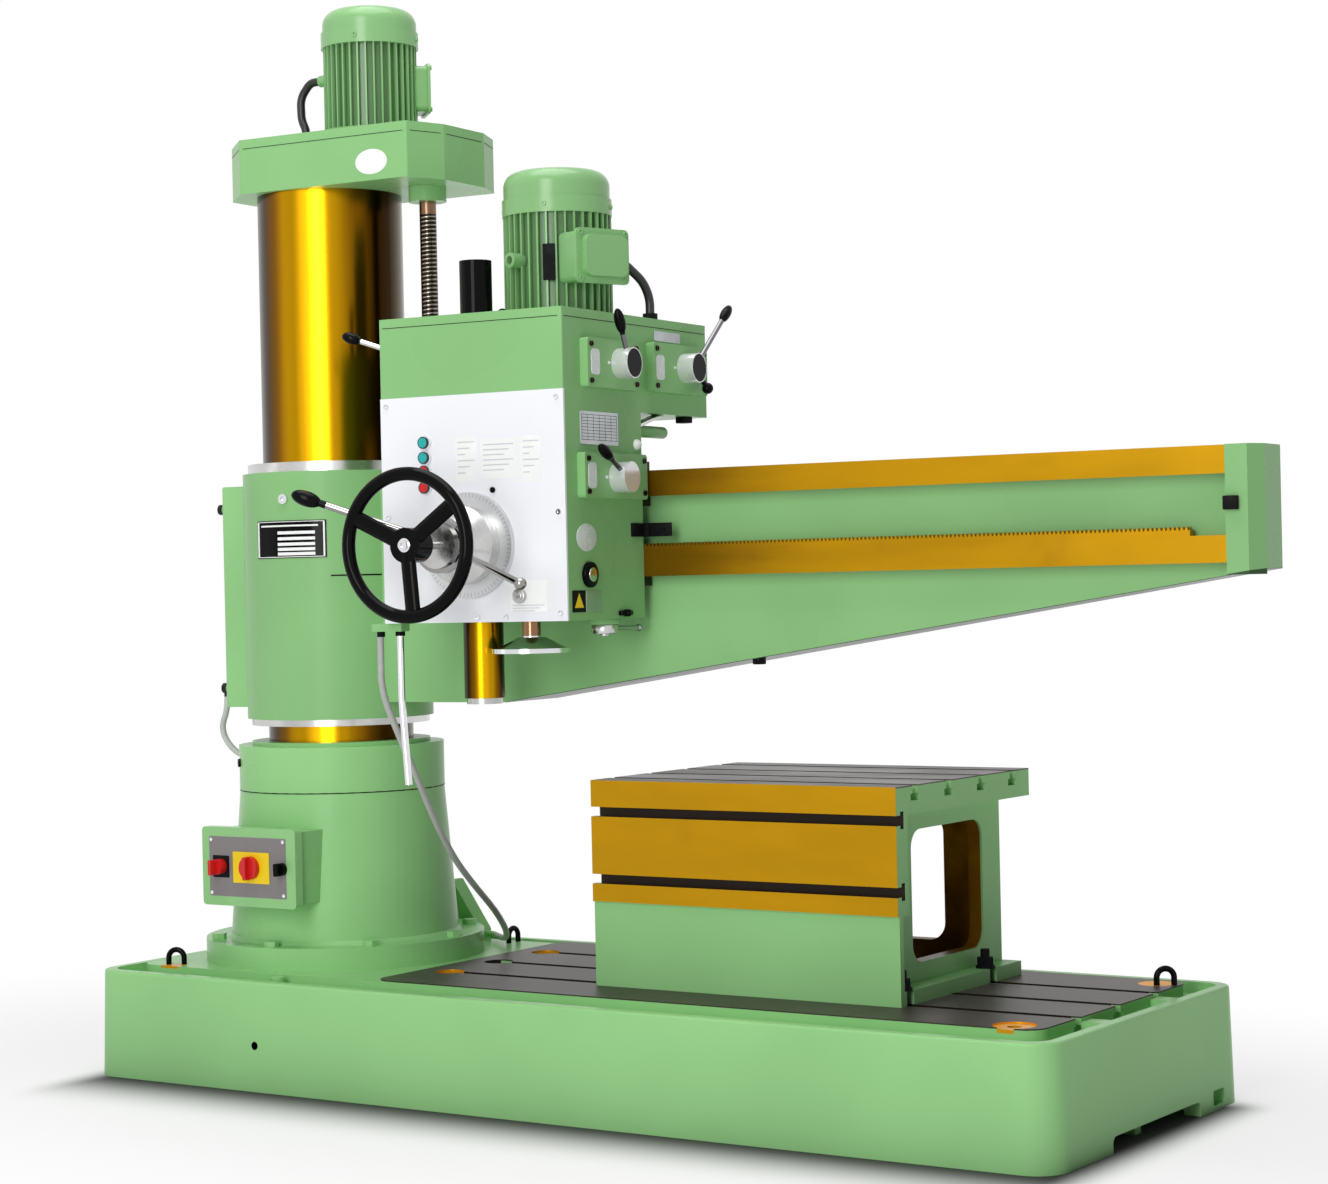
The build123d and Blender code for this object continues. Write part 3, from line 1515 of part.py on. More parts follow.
with BuildPart() as quill_bearings:
    disc(
        quill_bore - seat_gap, quill_bearing_low, quill_bearing_low + quill_bearing_height,
        spindle_radius + running_gap, at=spindle_at,
    )
    disc(
        quill_bore - seat_gap, quill_top - quill_bearing_height, quill_top, shaft_radius + running_gap,
        at=spindle_at,
    )
swing(quill_bearings, "quill_bearings")

with BuildPart() as spindle:
    disc(nose_radius, nose_bottom, quill_bottom - face_gap, at=spindle_at)
    disc(spindle_radius, nose_bottom, spindle_step, at=spindle_at)
    disc(shaft_radius, spindle_step, quill_top, at=spindle_at)
    disc(spline_radius, quill_top, spindle_top, at=spindle_at)
    with BuildSketch(Plane((spindle_x, spindle_y, nose_bottom))):
        Circle(taper_mouth_radius)
    with BuildSketch(Plane((spindle_x, spindle_y, nose_bottom + taper_depth))):
        Circle(taper_end_radius)
    loft(mode=Mode.SUBTRACT)
swing(spindle, "spindle")

with BuildPart() as spindle_gear:
    gear(
        Plane((spindle_x, spindle_y, drive_gear_z)), drive_gear_width, drive_module, spindle_teeth,
        drive_motor_angle, spline_radius + running_gap,
    )
    disc(
        drive_gear_hub, chamber_z + face_gap, drive_gear_z, spline_radius + running_gap, at=spindle_at,
    )
swing(spindle_gear, "spindle_gear")

with BuildPart() as drive_pinion:
    gear(
        Plane((motor_x, motor_y, drive_gear_z)), drive_gear_width, drive_module, drive_teeth,
        drive_motor_angle + 180 + 180 / drive_teeth,
    )
    disc(motor_shaft_radius, chamber_z + face_gap, head_top + motor_shaft_depth, at=motor_at)
    disc(shaft_stub_radius, chamber_z - shaft_stub_depth, chamber_z + face_gap, at=motor_at)
swing(drive_pinion, "drive_pinion")

# Feed capstan: hollow pinion shaft, dial and two levers
shaft_clear = traverse_shaft_radius + running_gap
pinion_back = spindle_y + feed_pinion_width / 2
pinion_front = spindle_y - feed_pinion_width / 2
with BuildPart() as feed_hub:
    bar_along_y(feed_journal_radius, feed_ring_back, pinion_front, feed_axis_x, feed_axis_z)
    gear(
        Plane((feed_axis_x, pinion_front, feed_axis_z), x_dir=(1, 0, 0), z_dir=(0, 1, 0)), feed_pinion_width,
        feed_module, feed_teeth, 180,
    )
    bar_along_y(feed_ring_radius, feed_ring_front, feed_ring_back, feed_axis_x, feed_axis_z)
    with BuildSketch(Plane((feed_axis_x, feed_ring_front, feed_axis_z), x_dir=(1, 0, 0), z_dir=(0, -1, 0))):
        Circle(feed_ring_radius)
    with BuildSketch(Plane((feed_axis_x, feed_cone_front, feed_axis_z), x_dir=(1, 0, 0), z_dir=(0, -1, 0))):
        Circle(feed_hub_radius)
    loft()
    bar_along_y(feed_hub_radius, feed_hub_front, feed_cone_front, feed_axis_x, feed_axis_z)
    bar_along_y(shaft_clear, feed_hub_front, pinion_back, feed_axis_x, feed_axis_z, mode=Mode.SUBTRACT)
swing(feed_hub, "feed_hub")

with BuildPart() as feed_dial:
    bar_along_y(
        dial_radius, feed_ring_back, feed_ring_back + dial_thickness - face_gap, feed_axis_x, feed_axis_z,
        feed_journal_radius + seat_gap,
    )
swing(feed_dial, "feed_dial")

with BuildPart() as feed_levers:
    collar_radius = feed_hub_radius + lever_collar
    for reach, rise in ((-lever_tip_x, lever_tip_high), (lever_tip_x, lever_tip_low)):
        span = math.hypot(reach, rise)
        root = (
            feed_axis_x + reach * feed_hub_radius / span, lever_y, feed_axis_z + rise * feed_hub_radius / span,
        )
        tip = (feed_axis_x + reach, lever_tip_y, feed_axis_z + rise)
        rod(root, tip, lever_radius)
        if reach < 0:
            out = (Vector(*tip) - Vector(*root)).normalized() * lever_knob_length
            oval_grip(Vector(*tip) - out, Vector(*tip) + out, lever_knob_radius)
        else:
            ball(tip, lever_ball_radius)
    bar_along_y(
        collar_radius, lever_y - lever_collar_width / 2, lever_y + lever_collar_width / 2, feed_axis_x,
        feed_axis_z,
    )
    bar_along_y(
        feed_hub_radius + seat_gap, feed_hub_front, feed_cone_front, feed_axis_x, feed_axis_z,
        mode=Mode.SUBTRACT,
    )
swing(feed_levers, "feed_levers")

# Traverse handwheel, its shaft through the capstan, and the pinion on the arm's rack
with BuildPart() as handwheel:
    with BuildSketch(Plane((feed_axis_x, wheel_y, feed_axis_z))) as rim:
        with Locations((wheel_radius, 0)):
            Circle(wheel_rim_radius)
    revolve(rim.sketch, axis=Axis((feed_axis_x, wheel_y, feed_axis_z), (0, 1, 0)))
    for spoke in range(wheel_spoke_count):
        turn = math.radians(wheel_spoke_angle + spoke * 360 / wheel_spoke_count)
        outward = (math.cos(turn), 0, math.sin(turn))
        with BuildSketch(Plane((feed_axis_x, wheel_y, feed_axis_z), x_dir=(0, 1, 0), z_dir=outward)) as face:
            Ellipse(wheel_spoke_half_depth, wheel_spoke_half_width)
        extrude(face.sketch, amount=wheel_radius)
    bar_along_y(wheel_hub_radius, wheel_hub_front, wheel_hub_back, feed_axis_x, feed_axis_z)
    bar_along_y(
        traverse_shaft_radius + seat_gap, wheel_hub_front, wheel_hub_back, feed_axis_x, feed_axis_z,
        mode=Mode.SUBTRACT,
    )
swing(handwheel, "handwheel")

traverse_gear_back = traverse_gear_front + traverse_gear_width
mesh_angle = math.degrees(math.atan2(feed_axis_z - pinion_z, pinion_x - feed_axis_x))
with BuildPart() as traverse_shaft:
    bar_along_y(traverse_shaft_radius, wheel_hub_front, traverse_gear_back, feed_axis_x, feed_axis_z)
    gear(
        Plane((feed_axis_x, traverse_gear_front, feed_axis_z), x_dir=(1, 0, 0), z_dir=(0, 1, 0)),
        traverse_gear_width, traverse_module, traverse_teeth, mesh_angle,
    )
swing(traverse_shaft, "traverse_shaft")

with BuildPart() as rack_pinion:
    bar_along_y(
        pinion_shaft_radius, gear_pocket_front - head_wall + face_gap, rack_front + pinion_width, pinion_x,
        pinion_z,
    )
    gear(
        Plane((pinion_x, traverse_gear_front, pinion_z), x_dir=(1, 0, 0), z_dir=(0, 1, 0)),
        traverse_gear_width, traverse_module, traverse_teeth, mesh_angle + 180 + 180 / traverse_teeth,
    )
    gear(
        Plane((pinion_x, rack_front, pinion_z), x_dir=(1, 0, 0), z_dir=(0, 1, 0)), pinion_width, rack_module,
        pinion_teeth, 90,
    )
swing(rack_pinion, "rack_pinion")

# Fine feed wheel under the head
with BuildPart() as fine_feed_wheel:
    fine_at = (fine_wheel_x, fine_wheel_y)
    rim_top = fine_wheel_z + fine_wheel_rim / 2
    disc(fine_wheel_radius, fine_wheel_z - fine_wheel_rim / 2, rim_top, at=fine_at)
    with BuildSketch(Plane((fine_wheel_x, fine_wheel_y, rim_top))):
        Circle(fine_wheel_radius - fine_wheel_rim)
    with BuildSketch(Plane((fine_wheel_x, fine_wheel_y, rim_top + fine_wheel_dish))):
        Circle(fine_wheel_hub)
    loft()
    disc(fine_shaft_radius, rim_top + fine_wheel_dish, head_bottom + fine_shaft_depth, at=fine_at)
swing(fine_feed_wheel, "fine_feed_wheel")


def shift_lever(y, z, tilt, length):
    """Hub on a side plate with a rod and a grip, tilted from upright towards the back."""
    hub_left = head_right + plate_thickness + face_gap
    hub_right = hub_left + lever_hub_length
    bar_along_x(lever_pin_radius, head_right + face_gap, hub_left, y, z)
    bar_along_x(lever_hub_radius, hub_left, hub_right, y, z)
    across = math.sin(math.radians(tilt))
    up = math.cos(math.radians(tilt))
    rod_x = hub_right - lever_rod_inset
    grip_start = length - lever_grip_length
    rod((rod_x, y, z), (rod_x, y + across * length, z + up * length), lever_rod_radius)
    oval_grip(
        Vector(rod_x, y + across * grip_start, z + up * grip_start),
        Vector(rod_x, y + across * (length + lever_grip_radius), z + up * (length + lever_grip_radius)),
        lever_grip_radius,
    )


with BuildPart() as speed_lever:
    shift_lever(speed_y, speed_z, speed_tilt, speed_length)
swing(speed_lever, "speed_lever")

with BuildPart() as feed_lever:
    shift_lever(feed_y, feed_z, feed_tilt, feed_length)
    knob_x = head_right + plate_thickness + feed_knob_out
    knob_y = feed_y + feed_knob_back
    knob_z = feed_z - feed_knob_drop
    rod((knob_x, feed_y, feed_z), (knob_x, knob_y, knob_z), lever_rod_radius)
    ball((knob_x, knob_y, knob_z), feed_knob_radius)
swing(feed_lever, "feed_lever")

with BuildPart() as reverse_lever:
    shift_lever(reverse_y, reverse_z, reverse_tilt, reverse_length)
swing(reverse_lever, "reverse_lever")

with BuildPart() as side_lever:
    hub_right = head_left - face_gap
    hub_left = hub_right - side_hub_length
    bar_along_x(side_hub_radius, hub_left, hub_right, side_hub_y, side_hub_z)
    bar_along_x(lever_pin_radius, hub_right, head_left + head_wall, side_hub_y, side_hub_z)
    knob_at = (hub_left - side_reach, side_hub_y + side_forward, side_hub_z + side_rise)
    rod_start = Vector(hub_right - side_hub_length / 2, side_hub_y, side_hub_z)
    lever_way = (Vector(*knob_at) - rod_start).normalized()
    rod(rod_start, knob_at, lever_rod_radius)
    oval_grip(
        Vector(*knob_at) - lever_way * side_grip_half, Vector(*knob_at) + lever_way * side_grip_half,
        side_grip_radius,
    )
swing(side_lever, "side_lever")

# Coolant pipe that swivels in its union under the head
with BuildPart() as coolant_pipe:
    with BuildLine():
        pipe_route = FilletPolyline(
            (pipe_x, pipe_y, head_bottom + pipe_depth), (pipe_x, pipe_y, pipe_bend_z),
            (pipe_x + pipe_lean, pipe_y, pipe_end_z), radius=pipe_end_z,
        )
    with BuildSketch(Plane((pipe_x, pipe_y, head_bottom + pipe_depth), z_dir=(0, 0, -1))) as pipe_end:
        Circle(pipe_radius)
    sweep(pipe_end.sketch, path=pipe_route)
swing(coolant_pipe, "coolant_pipe")

# Four push buttons in the front panel
button_names = ("button_first", "button_second", "button_third", "button_fourth")
for button_name, button_z in zip(button_names, button_heights):
    with BuildPart() as push_button:
        bar_along_y(
            button_radius, head_front - button_proud,
            head_front + button_length - button_travel - button_proud, button_x, button_z,
        )
    swing(push_button, button_name)

# Coolant hose from the pump to the union, hanging free
with BuildPart() as coolant_hose:
    hose_turn = Location((0, 0, 0), (0, 0, arm_angle)) * Location((hose_x, pipe_y, head_bottom - union_height))
    hose_top = hose_turn.position
    hose_end_x = pump_spigot_x + hose_straight * math.cos(math.radians(spigot_angle))
    hose_end_y = pump_spigot_y + hose_straight * math.sin(math.radians(spigot_angle))
    cord([
        (hose_top.X, hose_top.Y, hose_top.Z), (hose_top.X, hose_top.Y, 990), (456, -396, 912),
        (474, -366, 820), (482, -308, 712), (474, -232, 598), (456, -142, 508), (436, -44, 438),
        (404, 56, 383), (370, 136, 340), (332, 208, 302), (292, 260, 276),
        (hose_end_x, hose_end_y, pump_spigot_z),
        (pump_spigot_x, pump_spigot_y, pump_spigot_z),
    ], hose_radius)
write(coolant_hose, "coolant_hose")
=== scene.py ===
"""Radial drilling machine: finishes, trim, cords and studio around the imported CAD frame."""

import math

import bpy
from mathutils import Matrix, Vector


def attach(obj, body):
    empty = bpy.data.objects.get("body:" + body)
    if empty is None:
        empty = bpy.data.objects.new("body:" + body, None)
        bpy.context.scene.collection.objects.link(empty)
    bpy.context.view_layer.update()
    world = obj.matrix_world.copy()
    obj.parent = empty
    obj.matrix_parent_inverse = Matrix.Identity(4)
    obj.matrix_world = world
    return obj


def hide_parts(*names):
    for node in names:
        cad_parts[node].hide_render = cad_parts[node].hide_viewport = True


bl_info = {
    "name": "Radial drilling machine",
    "version": (1, 0, 0),
    "blender": (4, 5, 0),
    "location": "3D View > Sidebar > Drill",
    "description": "Dresses the radial drilling machine with finishes, trim, cords and a studio",
    "category": "Object",
}

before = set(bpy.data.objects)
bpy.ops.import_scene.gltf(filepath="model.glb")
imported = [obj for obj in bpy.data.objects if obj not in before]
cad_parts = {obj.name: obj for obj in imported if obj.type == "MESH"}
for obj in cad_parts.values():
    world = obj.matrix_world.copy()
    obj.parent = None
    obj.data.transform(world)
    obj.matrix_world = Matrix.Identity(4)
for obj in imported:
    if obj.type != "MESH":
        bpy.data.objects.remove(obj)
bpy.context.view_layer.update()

UP = Vector((0, 0, 1))
DOWN = -UP
FRONT = Vector((0, -1, 0))
RIGHT = Vector((1, 0, 0))

# Places in metres, drawn with the arm along +X and turned by its angle afterwards.
ARM_ANGLE = math.radians(4.09)
LIFT_MOTOR = (0.129, 0.0)
DRIVE_MOTOR = (0.74938, -0.16088)
WHEEL_AXIS = (0.705, 1.230)  # x and z of the handwheel and the dial
SPEED_HUB, FEED_HUB, REVERSE_HUB = (-0.275, 1.620), (0.016, 1.625), (-0.295, 1.371)  # y and z
PANEL_FACE, DOOR_FACE = -0.477, -0.330  # y of the faces that look to the front
SIDE_FACE, SHIFT_FACE = 0.950, 0.970  # x of the faces that look to the right
SLEEVE_WALL = 0.2251  # radius just outside the sleeve
# Below this line the arm's enamel has painted shade.
ARM_UNDERSIDE = (0.55, 0.8732, 0.1486)  # where the arm's lower edge starts in x, its z there, its slope
SINK = 0.0005  # how far a plate goes into the face that carries it
BUTTON_X, BUTTON_HEIGHTS = 0.594, (1.457, 1.424, 1.394, 1.359)
FINE_WHEEL = (0.784, -0.360)
QUILL = (0.638, -0.330)
LIFT_SCREW_X, THREAD_TOP, THREAD_PITCH = 0.288, 2.03, 0.010
FLOOR_X = 0.85


def srgb(red, green, blue):
    """Linear colour of a screen colour given in 0-255."""
    def line(value):
        value = value / 255
        return value / 12.92 if value <= 0.04045 else ((value + 0.055) / 1.055) ** 2.4
    return (line(red), line(green), line(blue))


def colour(label, about, red, green, blue):
    """A colour property with a screen colour as its default."""
    return bpy.props.FloatVectorProperty(
        name=label, description=about, subtype="COLOR", size=3, min=0, max=1,
        default=srgb(red, green, blue))


def number(label, about, default, **kind):
    """A number property."""
    return bpy.props.FloatProperty(name=label, description=about, default=default, **kind)


def length(label, about, default):
    """A length property in metres."""
    return number(label, about, default, unit="LENGTH")


def angle(label, about, degrees):
    """An angle property with a default in degrees."""
    return number(label, about, math.radians(degrees), subtype="ANGLE")


class DrillColours(bpy.types.PropertyGroup):
    """Colours of the machine's finishes."""

    paint: colour("Paint", "Light green enamel on the castings", 145, 199, 133)
    ochre: colour("Ochre", "Oiled, rust-proofed machined steel", 180, 133, 9)
    # Dark ochre is also painted reflection on the column and quill, and painted shade on the ways near
    # the head.
    ochre_dark: colour("Dark ochre", "Thick parts of the rust-proofing film", 118, 78, 8)
    planed: colour("Planed iron", "Working surfaces of base and table", 68, 62, 59)
    steel: colour("Steel", "Bright turned steel", 205, 205, 203)
    iron: colour("Dark iron", "Shadowed slots and plain iron", 52, 42, 34)
    black: colour("Black", "Gloss black plastic and painted iron", 8, 8, 9)
    white: colour("White", "Front panel", 236, 238, 242)
    red: colour("Red", "Stop button and switch knobs", 205, 22, 24)
    teal: colour("Teal", "Start buttons", 20, 168, 166)
    yellow: colour("Yellow", "Switch plate", 240, 205, 20)
    plate: colour("Plate", "Bare data plates", 176, 180, 182)
    hose: colour("Hose", "Coolant hose", 168, 170, 166)
    conduit: colour("Conduit", "Black cable sleeves", 22, 22, 23)
    orange: colour("Orange", "Rust-proofed spot faces", 226, 152, 22)


class DrillTrim(bpy.types.PropertyGroup):
    """Sizes of the small trim."""

    plate_thickness: length("Plate thickness", "Thickness of the bare data plates", 0.0012)
    screw_radius: length("Screw radius", "Radius of the small cover screws", 0.006)
    screw_height: length("Screw height", "Height of the small cover screws", 0.004)
    seam_width: length("Seam width", "Half the width of a lid's dark seam", 0.0008)
    hose_diameter: length("Hose diameter", "Outside diameter of the coolant hose", 0.015)
    conduit_diameter: length("Conduit diameter", "Outside diameter of the sleeve conduit", 0.015)


class DrillStudio(bpy.types.PropertyGroup):
    """Camera and light."""

    camera_place: bpy.props.FloatVectorProperty(
        name="Camera place", description="Where the camera stands", subtype="TRANSLATION",
        unit="LENGTH", size=3, default=(4.4956, -5.2787, 1.1368))
    yaw: angle("Yaw", "Turn of the view to the left of +Y", 33.85)
    pitch: angle("Pitch", "Tilt of the view above level", -0.16)
    roll: angle("Roll", "Turn of the camera about its view", -1.27)
    lens: number("Lens", "Focal length on a 36 mm sensor", 76.6, unit="CAMERA")
    key_power: number("Key power", "Power of the soft light at the front", 214)
    fill_power: number("Fill power", "Power of the soft light at the left", 7)
    top_power: number("Top power", "Power of the overhead light", 165)
    ambient: number("Ambient", "Brightness of the room around the machine", 0.07)


def joins(operation):
    """A Socket method that adds one maths node over both its sides."""
    return lambda self, other: self.maths(operation, self, other)


class Socket:
    """An output of a shader tree that sums and comparisons accept like a number."""

    def __init__(self, look, output):
        self.look = look
        self.output = output

    def maths(self, operation, *values):
        """Adds a maths node over these values."""
        node = self.look.add("ShaderNodeMath", {"operation": operation})
        for socket, value in zip(node.inputs, values):
            self.look.feed(socket, value)
        return Socket(self.look, node.outputs[0])

    __add__ = joins("ADD")
    __sub__ = joins("SUBTRACT")
    __mul__ = joins("MULTIPLY")
    __truediv__ = joins("DIVIDE")
    __pow__ = joins("POWER")
    __gt__ = joins("GREATER_THAN")
    __lt__ = joins("LESS_THAN")
    largest = joins("MAXIMUM")  # joins two masks
    repeat = joins("FLOORED_MODULO")  # position within a step that repeats
    bearing = joins("ARCTAN2")  # angle of a rise over a run

    def __rsub__(self, other):
        return self.maths("SUBTRACT", other, self)

    def __abs__(self):
        return self.maths("ABSOLUTE", self)

    def sine(self):
        """Sine of an angle."""
        return self.maths("SINE", self)

    def ease(self, low, high, start=0.0, end=1.0):
        """Smooth change from start to end while this value goes from low to high."""
        node = self.look.add("ShaderNodeMapRange", {"interpolation_type": "SMOOTHSTEP"}, {
            "Value": self, "From Min": low, "From Max": high, "To Min": start, "To Max": end})
        return Socket(self.look, node.outputs[0])


class Look:
    """A procedural material under construction, on object coordinates turned about Z."""

    def __init__(self, name, turn=0.0):
        self.material = bpy.data.materials.new(name)
        self.material.use_nodes = True
        self.tree = self.material.node_tree
        self.shader = self.tree.nodes["Principled BSDF"]
        self.place = Socket(self, self.add("ShaderNodeTexCoord").outputs["Object"])
        if turn:
            turned = self.add("ShaderNodeVectorRotate", {"rotation_type": "Z_AXIS"}, {
                "Vector": self.place, "Angle": -turn})
            self.place = Socket(self, turned.outputs[0])
        split = self.add("ShaderNodeSeparateXYZ", None, {"Vector": self.place})
        self.axes = [Socket(self, output) for output in split.outputs]

    def feed(self, socket, value):
        """Links a Socket, or sets a plain value."""
        if isinstance(value, Socket):
            self.tree.links.new(value.output, socket)
        elif socket.type == "RGBA" and len(value) == 3:
            socket.default_value = (*value, 1)
        else:
            socket.default_value = value

    def add(self, kind, settings=None, values=None):
        """Adds any node: settings first, then its sockets."""
        node = self.tree.nodes.new(kind)
        for name, value in (settings or {}).items():
            setattr(node, name, value)
        for name, value in (values or {}).items():
            self.feed(node.inputs[name], value)
        return node

    def noise(self, scale, detail=3.0, rough=0.55, place=None):
        """Noise between 0 and 1."""
        node = self.add("ShaderNodeTexNoise", None, {
            "Vector": place or self.place, "Scale": scale, "Detail": detail, "Roughness": rough})
        return Socket(self, node.outputs[0])

    def streaks(self, scale, detail, rough=0.55):
        """Noise between 0 and 1 with a scale of its own along each axis."""
        node = self.add("ShaderNodeVectorMath", {"operation": "MULTIPLY"})
        self.feed(node.inputs[0], self.place)
        self.feed(node.inputs[1], scale)
        return self.noise(1.0, detail, rough, Socket(self, node.outputs[0]))

    def tint(self, factor, first, second):
        """Mix of two colours."""
        node = self.add("ShaderNodeMix", {"data_type": "RGBA"})
        self.feed(node.inputs[0], factor)
        self.feed(node.inputs[6], first)
        self.feed(node.inputs[7], second)
        return Socket(self, node.outputs[2])

    def coats(self, tone, *layers):
        """Lays further colours over a tone, each where its mask says."""
        for mask, rgb in layers:
            tone = self.tint(mask, tone, rgb)
        return tone

    def bump(self, height, strength, distance):
        """Small relief on the normal."""
        node = self.add("ShaderNodeBump", None, {
            "Height": height, "Strength": strength, "Distance": distance})
        self.feed(self.shader.inputs["Normal"], Socket(self, node.outputs[0]))

    def set(self, **values):
        """Sets or links sockets of the shader, named with underscores for spaces."""
        for name, value in values.items():
            self.feed(self.shader.inputs[name.replace("_", " ")], value)


def shade(rgb, amount):
    """A darker (below 1) or lighter colour."""
    return tuple(min(1.0, value * amount) for value in rgb)


def reach(across, along):
    """Distance from an axis."""
    return (across * across + along * along) ** 0.5


def painted(look, rgb, low=0.95, high=1.04):
    """Enamel's tone, the slow noise behind its changes and a fine orange peel."""
    cloud = look.noise(2.3, 2.0)
    tone = look.tint(cloud.ease(0.3, 0.7), shade(rgb, low), shade(rgb, high))
    return tone, cloud, look.noise(260.0, 2.0)


def enamel(name, rgb, turn=0.0, underside=None):
    """Gloss enamel with a faint orange peel, and painted shade below a sloping line where one is given.
    """
    look = Look(name, turn)
    tone, cloud, peel = painted(look, rgb)
    speck = look.noise(60.0, 4.0, 0.7)
    tone = look.tint(speck.ease(0.68, 0.85, 0.0, 0.25), tone, shade(rgb, 0.8))
    # Painted shade on the underside below the line, nearly black.
    if underside:
        x, _, z = look.axes
        start, height, rise = underside
        below = (z - (x - start) * rise < height) * (x > start)
        tone = look.tint(below, tone, shade(rgb, 0.16))
    look.bump(peel + cloud * 2.0, 0.05, 0.0006)
    look.set(Base_Color=tone, Roughness=cloud.ease(0.2, 0.8, 0.24, 0.34), Specular_IOR_Level=0.1)


def motor_enamel(name, rgb, axis, radius, top):
    """Gloss enamel on a finned motor, with painted shade in the gaps between its fins."""
    look = Look(name)
    x, y, z = look.axes
    depth = radius - reach(x - axis[0], y - axis[1])
    tone, cloud, peel = painted(look, rgb)
    # Painted shade in the gaps between the fins: darker inside the fins' outer radius, below the top.
    tone = look.tint(depth.ease(0.002, 0.012) * (z < top), tone, shade(rgb, 0.48))
    look.bump(peel + cloud * 2.0, 0.05, 0.0006)
    look.set(Base_Color=tone, Roughness=cloud.ease(0.2, 0.8, 0.2, 0.3), Specular_IOR_Level=0.35)


def film(look, rgb, dark, grain):
    """Colour and streaks of machined steel under a rust-proofing film."""
    streak = look.streaks(grain, 4.0, 0.6)
    blot = look.noise(6.0, 3.0, 0.5)
    tone = look.tint(streak.ease(0.3, 0.75, 0.0, 0.35), rgb, shade(rgb, 1.3))
    tone = look.tint(blot.ease(0.58, 0.8, 0.0, 0.3), tone, dark)
    return tone, streak, blot


def oiled_column_painted_reflection(name, colours, axis, bright, glow):
    """Ground round steel under a golden film, with painted reflection: bands from bright to dark around
    it.
    """
    look = Look(name)
    x, y, _ = look.axes
    # Painted reflection: bearing from the painted highlight, whose place bright gives in degrees and
    # whose lightness glow gives.
    angle = (y - axis[1]).bearing(x - axis[0]) - math.radians(bright)
    wave = look.streaks((14.0, 14.0, 0.5), 3.0)
    away = abs((angle + (wave - 0.5) * 0.22).sine())
    # Painted highlight and reflection: the film's colour lightened at that bearing and darkened to near
    # black away from it.
    tone = look.coats(
        shade(colours.ochre, glow), (away.ease(0.06, 0.26), colours.ochre),
        (away.ease(0.32, 0.58), colours.ochre_dark),
        (away.ease(0.56, 0.82), shade(colours.ochre_dark, 0.14)),
        (away.ease(0.94, 1.0, 0.0, 0.35), srgb(104, 92, 62)))
    fine = look.streaks((60.0, 60.0, 400.0), 2.0)
    look.bump(fine, 0.04, 0.0004)
    look.set(Base_Color=tone, Metallic=1.0, Roughness=wave.ease(0.3, 0.7, 0.16, 0.26))


def oiled_way(name, colours):
    """Scraped flat ways under a golden film, with painted shade from the column end to just past the
    head.
    """
    look = Look(name, ARM_ANGLE)
    x = look.axes[0]
    tone, streak, blot = film(look, shade(colours.ochre, 0.86), colours.ochre_dark,
                              (1.6, 14.0, 9.0))
    # Painted shade of the head: dark from the column end to the head's right side, fading out by x 1.4.
    head_shade = (x + (streak - 0.5) * 0.3).ease(0.96, 1.4, 0.8, 0.0)
    tone = look.tint(head_shade, tone, shade(colours.ochre_dark, 0.6))
    scrape = look.streaks((90.0, 30.0, 90.0), 3.0)
    look.bump(scrape, 0.05, 0.0006)
    look.set(Base_Color=tone, Metallic=blot.ease(0.3, 0.7, 0.6, 0.45),
             Roughness=streak.ease(0.3, 0.7, 0.3, 0.44), Specular_IOR_Level=0.08)


def turned_steel(name, rgb, along, rough=0.22):
    """Bright turned steel: fine rings around the axis it was turned on."""
    look = Look(name)
    scale = [40.0, 40.0, 40.0]
    scale["XYZ".index(along)] = 900.0
    rings = look.streaks(tuple(scale), 2.0)
    cloud = look.noise(9.0, 3.0)
    tone = look.tint(cloud.ease(0.35, 0.75), rgb, shade(rgb, 0.72))
    look.bump(rings, 0.05, 0.0003)
    look.set(Base_Color=tone, Metallic=1.0,
             Roughness=rings.ease(0.2, 0.8, rough * 0.8, rough * 1.3))


def plating(name, rgb):
    """Polished plating with faint handling marks."""
    look = Look(name)
    marks = look.noise(70.0, 5.0, 0.7)
    look.set(Base_Color=rgb, Metallic=1.0, Roughness=marks.ease(0.4, 0.8, 0.07, 0.2))


def moulded(name, rgb, rough=0.28, grain=0.0, shine=0.45):
    """Moulded plastic or gloss-painted small parts."""
    look = Look(name)
    cloud = look.noise(35.0, 3.0)
    dust = look.noise(420.0, 2.0)
    tone = look.tint(cloud.ease(0.45, 0.8, 0.0, 0.35), rgb, shade(rgb, 1.25))
    look.bump(dust, 0.03 + grain, 0.0004)
    look.set(Base_Color=tone, Roughness=cloud.ease(0.3, 0.7, rough, rough * 1.35),
             Specular_IOR_Level=shine)


def planed(look, rgb):
    """Colour and tool marks of a planed face."""
    lines = look.streaks((1.2, 160.0, 20.0), 3.0)
    cloud = look.noise(4.0, 4.0)
    tone = look.tint(lines.ease(0.3, 0.7), shade(rgb, 0.75), shade(rgb, 1.15))
    return look.tint(cloud.ease(0.45, 0.75, 0.0, 0.5), tone, shade(rgb, 1.5)), lines


